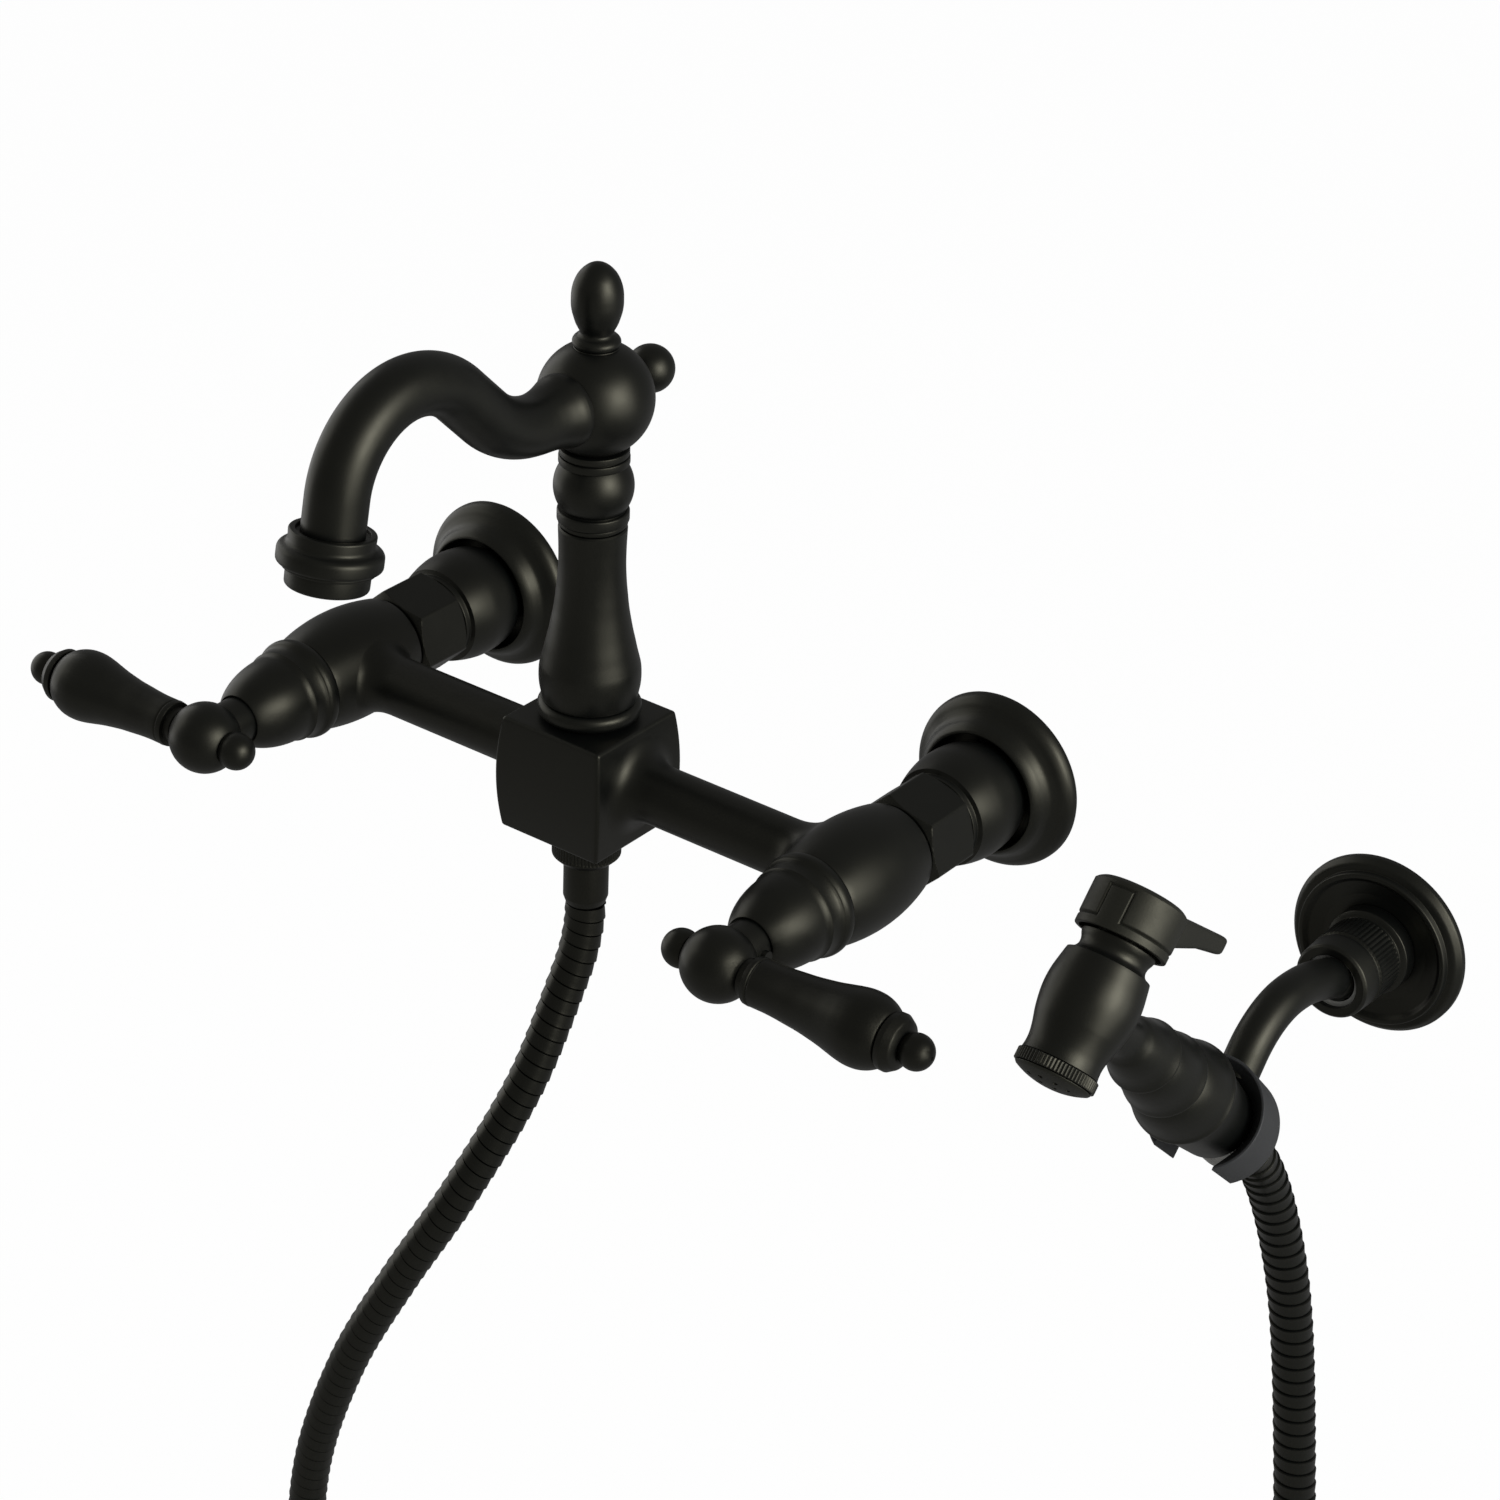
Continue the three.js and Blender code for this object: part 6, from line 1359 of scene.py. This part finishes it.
@dataclass(frozen=True)
class HandSpray:
    """The hand spray: head, handle of three bells, knurled ring, face with its nozzles, cap and paddle."""

    ring_radius: float = 11.5
    ring_ribs: int = 66
    rib_depth: float = 0.3
    cap_radius: float = 13.25
    cap_taper: float = 0.1  # how much wider it is at its shoulder
    cap_shoulder: float = 27.0
    cap_skirt: float = 18.2
    cap_top: float = 33.3
    cap_bend: float = 31.0  # where its rounded top begins
    cap_hollow: Pair = (29.8, 11.6)  # the height and radius of the room inside it
    rim_rows: Pair = (20.2, 21.6)  # heights between which the outline is finer
    window_half: float = 16.0  # degrees, either side of the front
    window_top: float = 29.8
    rim_line: float = 20.9
    groove_depth: float = 0.45
    groove_width: float = 0.32
    window_sink: float = 0.12  # how much lower the face inside the line stands
    paddle_length: float = 44.4
    paddle_round: float = 1.8
    paddle_root: float = 12.0
    paddle_half_widths: tuple[float, ...] = (7.2, 7.5, 7.8, 7.9)
    paddle_floor: tuple[float, ...] = (22.4, 23.0, 29.5, 32.7)  # heights of its underside
    paddle_tip: Pair = (0.6, 0.85)  # shares of its height and width that are left at the very end
    paddle_rise: float = 5.0
    paddle_power: float = 5.5  # n of its superellipse
    nozzles: tuple[tuple[int, float], ...] = ((5, 3.4), (10, 6.8))
    nozzle_radius: float = 0.7
    nozzle_span: Pair = (-26, -21.2)  # from in front of the face to how deep the holes go

    def head(self) -> Form:
        """The head: a barrel that narrows to the ring, with a waist and a neck under the cap."""
        barrel = through([
            (-17.2, 10.85), (-15.6, 10.65), (-13.8, 10.65), (-12, 10.9), (-10.2, 11.3), (-8.4, 11.8),
            (-6.8, 12.25), (-3.2, 12.95), (-0.5, 13.28), (1.8, 13.35), (4, 13.25), (6, 13.0), (8.5, 12.55),
            (10.6, 12.15),
        ])
        shoulder = rounded([(10.6, 12.15, 0), (11.5, 11.95, 0.15), (12.1, 10.6, 0.4), (12.6, 10.1, 0)])
        waist = through([
            (12.7, 10.0), (13.4, 9.65), (14.4, 9.55), (15.4, 9.75), (16.4, 10.2), (17.2, 10.45),
            (17.7, 10.5),
        ])
        neck = [(17.9, 10.3), (17.9, 6.6), (26, 6.6), (26, 0)]
        return turned(outline([(-17.2, 0)], barrel, shoulder, waist, neck), SPRAY_UP)

    def handle(self) -> Form:
        """The handle: a slim neck, three bells that each end in a thin rim, and the cone of the tail."""
        first = through([
            (13.6, 5.6), (20, 5.55), (25, 5.65), (28, 5.95), (30, 6.6), (31.8, 7.4), (34.5, 8.2),
            (37, 8.75), (39.2, 9.15), (41.5, 9.65), (43.2, 10.2), (44.2, 10.6),
        ])
        second = through([
            (45.2, 8.7), (46.4, 9.35), (48.4, 10.1), (51, 10.7), (54, 11.15), (57, 11.5), (59.3, 11.85),
            (61.3, 12.4),
        ])
        third = through([
            (62.9, 10.5), (64.1, 11.5), (66.2, 12.5), (69, 13.3), (72, 13.9), (75, 14.4), (76.8, 14.75),
            (78.0, 15.2),
        ])
        rim_one = rounded([(44.2, 10.6, 0), (44.9, 10.7, 0.3), (45.0, 8.7, 0.1), (45.2, 8.7, 0)])
        rim_two = rounded([(61.3, 12.4, 0), (62.1, 12.5, 0.35), (62.4, 10.5, 0.1), (62.9, 10.5, 0)])
        rim_three = rounded([(78.0, 15.2, 0), (78.9, 15.25, 0.35), (79.2, 14.0, 0.1), (79.8, 13.95, 0)])
        cone = rounded([
            (79.8, 13.95, 0), (95, 12.6, 8), (105.4, 11.65, 0.3), (106, 11.2, 0), (106, 6, 0), (113, 6, 0),
            (113, 0, 0),
        ])
        stub = [(5, 0), (5, 5.9), (12.9, 5.9), (13.6, 5.6)]
        return turned(outline(stub, first, rim_one, second, rim_two, third, rim_three, cone), SPRAY_BACK)

    def ring(self) -> Form:
        """The knurled ring under the head."""
        r = self.ring_radius
        rows = level(-20.6, -17.7, r, 8)
        line = outline([(-20.8, 9.4), (-20.8, r - 0.25)], rows, [(-17.5, r - 0.25), (-17.5, 9.4)])
        knurl = Knurl(-20.9, -17.4, self.ring_ribs, self.rib_depth, floor=r - 0.5, fade=0.3)
        return turned(line, SPRAY_UP, knurl.angles(), knurl, loop=True)

    def face(self) -> Form:
        """The domed spray face: its depth falls as a power of the distance from its middle."""
        share = np.linspace(0, 1, 20)
        dome = np.column_stack([-24 + 2.3 * share**2.2, 10.4 * share])
        edge = rounded([
            (-21.7, 10.4, 0), (-21.1, 10.95, 0.3), (-20.9, 10.5, 0), (-20.9, 9.1, 0), (-17.4, 9.1, 0),
            (-17.4, 0, 0),
        ])
        return turned(outline(dome, edge), SPRAY_UP)

    def nozzle_drills(self) -> Form:
        """One small cylinder for each nozzle, standing on circles about the spray's axis."""
        (near, deep), r = self.nozzle_span, self.nozzle_radius
        bit = np.array([(near, 0), (near, r), (deep, r), (deep, 0)])
        holes = []
        for count, reach in self.nozzles:
            for angle in TAU * (np.arange(count) + 0.5) / count:
                spot = SPRAY_UP.world(np.array([0, reach * math.cos(angle), reach * math.sin(angle)]))
                holes.append(turned(bit, Place(tuple(spot.tolist()), SPRAY_UP.along), ring_angles(14)))
        return sum(holes[1:], holes[0])

    def cap(self) -> Form:
        """The cap: a cup with a shut line that runs round its rim and up over a window in front.

        The line is the outline of a union: below the rim height, or inside the window. The radius sinks by
        a bell curve of the distance to that line, and stands a little lower inside it.
        """
        r, skirt, wide = self.cap_radius, self.cap_skirt, self.cap_radius + self.cap_taper
        shoulder, bend, front = self.cap_shoulder, self.cap_bend, 270.0
        top = rounded([
            (shoulder, wide, 0), (31.2, wide, 1.6), (32.4, 11.6, 3), (33.1, 7, 6), (self.cap_top, 0, 0),
        ], steps=10)
        even, at_rim = np.linspace(skirt + 0.2, shoulder, 40), np.linspace(*self.rim_rows, 16)
        rows = np.unique(np.concatenate([even, at_rim]))
        side = np.column_stack([rows, r + self.cap_taper * (rows - skirt) / 9])
        upper = level(shoulder + 0.05, bend, wide, 34)
        lip = rounded([(skirt, 11.85, 0), (skirt, r - 0.1, 0.2), (skirt + 0.2, r, 0)])
        inside = [(self.cap_hollow[0], 0), self.cap_hollow]

        def shut_line(angles: Array, along: Array, radius: Array) -> tuple[Array, Array]:
            across = r * np.abs((angles - math.radians(front) + math.pi) % TAU - math.pi)
            window = np.maximum(across - r * math.radians(self.window_half), along - self.window_top)
            edge = np.minimum(window, along - self.rim_line)
            groove = self.groove_depth * np.exp(-((edge / self.groove_width) ** 2))
            return along, radius - np.where(radius > r - 0.4, groove + self.window_sink * (edge < 0), 0)

        sides = front - self.window_half, front + self.window_half
        angles = ring_angles(180, sides, spread=3.0, extra=25)
        return turned(outline(inside, lip, side, upper, top[top[:, 0] > bend]), SPRAY_UP, angles, shut_line)

    def paddle(self) -> Form:
        """The thumb paddle: rounded sections along its length, thinner and higher towards the tip.

        A section is a superellipse, |x|^n + |z|^n = 1. Its height runs between two lines, its width is
        nearly even, and the last stretch closes like a quarter of an ellipse.
        """
        start, root, length, end_round = 4.0, self.paddle_root, self.paddle_length, self.paddle_round
        straight = length - end_round
        tip = straight + end_round * np.sin(np.linspace(0, math.pi / 2, 12)[1:])
        y = np.concatenate([np.linspace(start, straight, 34), tip])
        top = self.cap_top + self.paddle_rise * np.clip((y - root) / (length - root), -0.1, 1)
        low = np.interp(y, [start, root, 30, length], self.paddle_floor)
        close = np.sqrt(np.clip(1 - (np.clip(y - straight, 0, None) / end_round) ** 2, 0, 1))
        high_end, wide_end = self.paddle_tip
        half_height = 0.5 * (top - low) * (high_end + (1 - high_end) * close)
        half_width = np.interp(y, [start, root, 24, length], self.paddle_half_widths)
        half_width = half_width * (wide_end + (1 - wide_end) * close)
        middle = 0.5 * (top + low)
        angle = np.linspace(0, TAU, 64, endpoint=False)[None, :]
        c, s = np.cos(angle), np.sin(angle)
        x = half_width[:, None] * np.sign(c) * np.abs(c) ** (2 / self.paddle_power)
        z = middle[:, None] + half_height[:, None] * np.sign(s) * np.abs(s) ** (2 / self.paddle_power)
        local = np.stack([z, x, np.broadcast_to(y[:, None], x.shape)], axis=-1)
        return loft(SPRAY_UP.world(local))

    def build(self) -> None:
        """Makes the pieces on the sprayer, and the cap with its paddle on the thumb lever."""
        make_coated("sprayer", {"spray_head.turned": self.head(), "spray_handle.turned": self.handle()})
        make_coated("sprayer", {"spray_ring.knurled": self.ring()})
        face = make_piece("spray_face.moulded", self.face(), MOULDED_BLACK, "sprayer")
        bore(face, self.nozzle_drills())
        make_piece("spray_cap.moulded", self.cap() + self.paddle(), MOULDED_BLACK, "thumb_lever")


# ---------------- the spray's holder


@dataclass(frozen=True)
class Holder:
    """The holder on the wall: cover plate, knurled collar, bush, bent arm and the open clip."""

    offset: float = SPRAY_ORIGIN[0]
    drop: float = 4.9
    collar_front: float = 29.4
    collar_ribs: int = 52
    ball_reach: float = 25.0
    ball: float = 7.2
    seat_radius: float = 7.5  # of the bush's hollow round the ball
    tube: float = 6.0
    bends: tuple[Pair, ...] = ((14.0, 0), (50.0, -20.0), (27.0, -50.0), (16.0, 0))
    arm_depth: float = 13.4  # how far from the clip's axis the arm ends, inside the clip's wall
    clip_start: float = 98.0
    clip_end: float = 114.8
    clip_outer: float = 17.3
    clip_rear: float = 16.8
    clip_seat: float = 10.7
    slot_half: float = 9.5

    @property
    def place(self) -> Place:
        """On the holder's axis, measured from the wall outwards."""
        return Place((self.offset, 0, -self.drop), (0, -1, 0))

    def plate(self) -> Form:
        """The cover plate: a rounded band, a raised ring and a shallow dish."""
        corners = [
            (0, 26.4, 0), (0, 28.2, 0.2), (1.9, 28.2, 1.2), (3.9, 26.6, 1.8), (4.2, 24.5, 0.25),
            (6.2, 24.3, 0.5), (6.2, 22.9, 0.5), (4.9, 21.6, 1.2), (3.9, 17, 4), (3.4, 12, 0), (3.4, 5.3, 0),
            (1.9, 5.3, 0), (1.9, 23.4, 0),
        ]
        return hollow(corners, self.place, 128)

    def collar(self) -> Form:
        """The collar: a flanged foot, a gripped waist and a smooth ring round the arm's mouth."""
        foot = rounded([
            (3.6, 5.3, 0), (3.6, 13.5, 0.6), (8.3, 13.5, 0.5), (8.8, 12.6, 0.2), (9.2, 11.7, 0.2),
            (10.2, 11.7, 0), (10.5, 12.2, 0),
        ])
        grip = level(10.6, 20.4, 12.2, 12)
        front = rounded([
            (20.5, 12.2, 0), (21.0, 11.5, 0.2), (22.0, 11.6, 0.2), (22.5, 12.0, 0.3), (28.6, 11.75, 0.8),
            (self.collar_front, 10.9, 0.4), (self.collar_front, 8.4, 0.4), (28.0, 8.4, 0), (28.0, 9.5, 0),
            (16.5, 9.5, 0), (16.5, 5.3, 0),
        ])
        knurl = Knurl(10.2, 20.8, self.collar_ribs, depth=0.3, floor=11.9)
        return turned(outline(foot, grip, front), self.place, knurl.angles(), knurl, loop=True)

    def bush(self) -> Form:
        """The bush that seats the arm's ball."""
        seat = ball_line(self.ball_reach, self.seat_radius, 18.5, 27.6, 20)[::-1]
        line = outline([(16.8, 4.0), (16.8, 9.2), (27.7, 9.2), (27.7, 8.0)], seat, [(18.0, 4.0)])
        return turned(line, self.place, loop=True)

    def arm(self) -> Form:
        """The arm: a ball, a straight rise, a crest and a drop into the clip's wall, round all along."""
        flat = route((self.ball_reach, -self.drop), 20.0, self.bends)
        line = np.column_stack([np.full(len(flat), self.offset), -flat[:, 0], flat[:, 1]])
        height = (line - np.array(SPRAY_ORIGIN)) @ np.array(SPRAY_UP.along)
        line = line[(height > self.arm_depth) | (np.arange(len(line)) < len(line) // 2)]
        tube = piped(line, self.tube, (1, 0, 0))
        return tube + turned(whole_ball(self.ball_reach, self.ball), self.place)

    def clip(self) -> Form:
        """The clip: one wall section swept round the spray's tail, with the slot's sides parallel.

        At each radius r the sweep leaves out the angle whose sine is the slot's half width over r, so that
        both ends are flat. The section is thin in front and thick where the tail's cone sits.
        """
        start, end, seat = self.clip_start, self.clip_end, self.clip_seat
        outside = [(start, self.clip_outer, 0.35), (end, self.clip_rear, 0.5), (end, seat, 0.4)]
        inside = [(107.5, seat, 1.5), (105.6, 11.9, 1.0), (98.7, 16.0, 1.0), (start, 16.45, 0.25)]
        section = rounded([*outside, *inside], loop=True)
        open_angle = np.arcsin(self.slot_half / section[:, 1])
        share = np.linspace(0, 1, 80)[:, None]
        angle = -math.pi / 2 + open_angle[None, :] + share * (TAU - 2 * open_angle[None, :])
        radius = section[None, :, 1]
        along = np.broadcast_to(section[None, :, 0], angle.shape)
        local = np.stack([radius * np.sin(angle), radius * np.cos(angle), along], axis=-1)
        return loft(SPRAY_UP.world(local))

    def build(self) -> None:
        """Makes the holder's pieces, all on the frame's root."""
        make_coated("root", {"holder_plate.spun": self.plate(), "holder_collar.knurled": self.collar()})
        make_piece("holder_bush.turned", self.bush(), BUSH_GREY, "root")
        make_coated("root", {"holder_arm.bent": self.arm()})
        make_piece("holder_clip.moulded", self.clip(), CLIP_GREY, "root")


# ---------------- inside the faucet

INNER_NODES: dict[Finish, str] = {
    TURNED_BRASS: "cartridge_left cartridge_right valve_stem_left valve_stem_right diverter spray_stem",
    BLACK_RUBBER: "union_washer_left union_washer_right hose_washer spout_seal",
    BRIGHT_STEEL: "holder_bracket cap_pin spray_spring",
}


def dress_inner_nodes() -> None:
    """Gives the CAD nodes that stay, inside the faucet, their finishes."""
    for finish, nodes in INNER_NODES.items():
        for name in nodes.split():
            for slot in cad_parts[name].material_slots:
                slot.material = finish.material()
            LOG.info("%s: CAD mesh kept, %s", name, finish.name)


def main() -> None:
    """Builds the camera and the hose first, then every sub-assembly."""
    logging.basicConfig(level=logging.INFO, format="%(message)s")
    studio = Studio()
    studio.camera()
    Hose().build()
    Bridge().build()
    for side in (-1, 1):
        Inlet(side).build()
        Valve(side).build()
    Column().build()
    Gooseneck().build()
    under_block = Place((0, -AXIS_REACH, 0), (0, 0, -1))
    under_sizes = {"nut_length": 12.0, "shoulder": 2.4, "ferrule_length": 15.4}
    HoseUnion("hose", "root", under_block, 21.3, 11.0, SATIN_BLACK, **under_sizes).build()
    HoseUnion("spray", "sprayer", SPRAY_BACK, 106.3, 10.3, BRIGHT_STEEL, nut_length=16.0, ribs=56).build()
    HandSpray().build()
    Holder().build()
    dress_inner_nodes()
    studio.light()


if __name__ == "__main__":
    main()
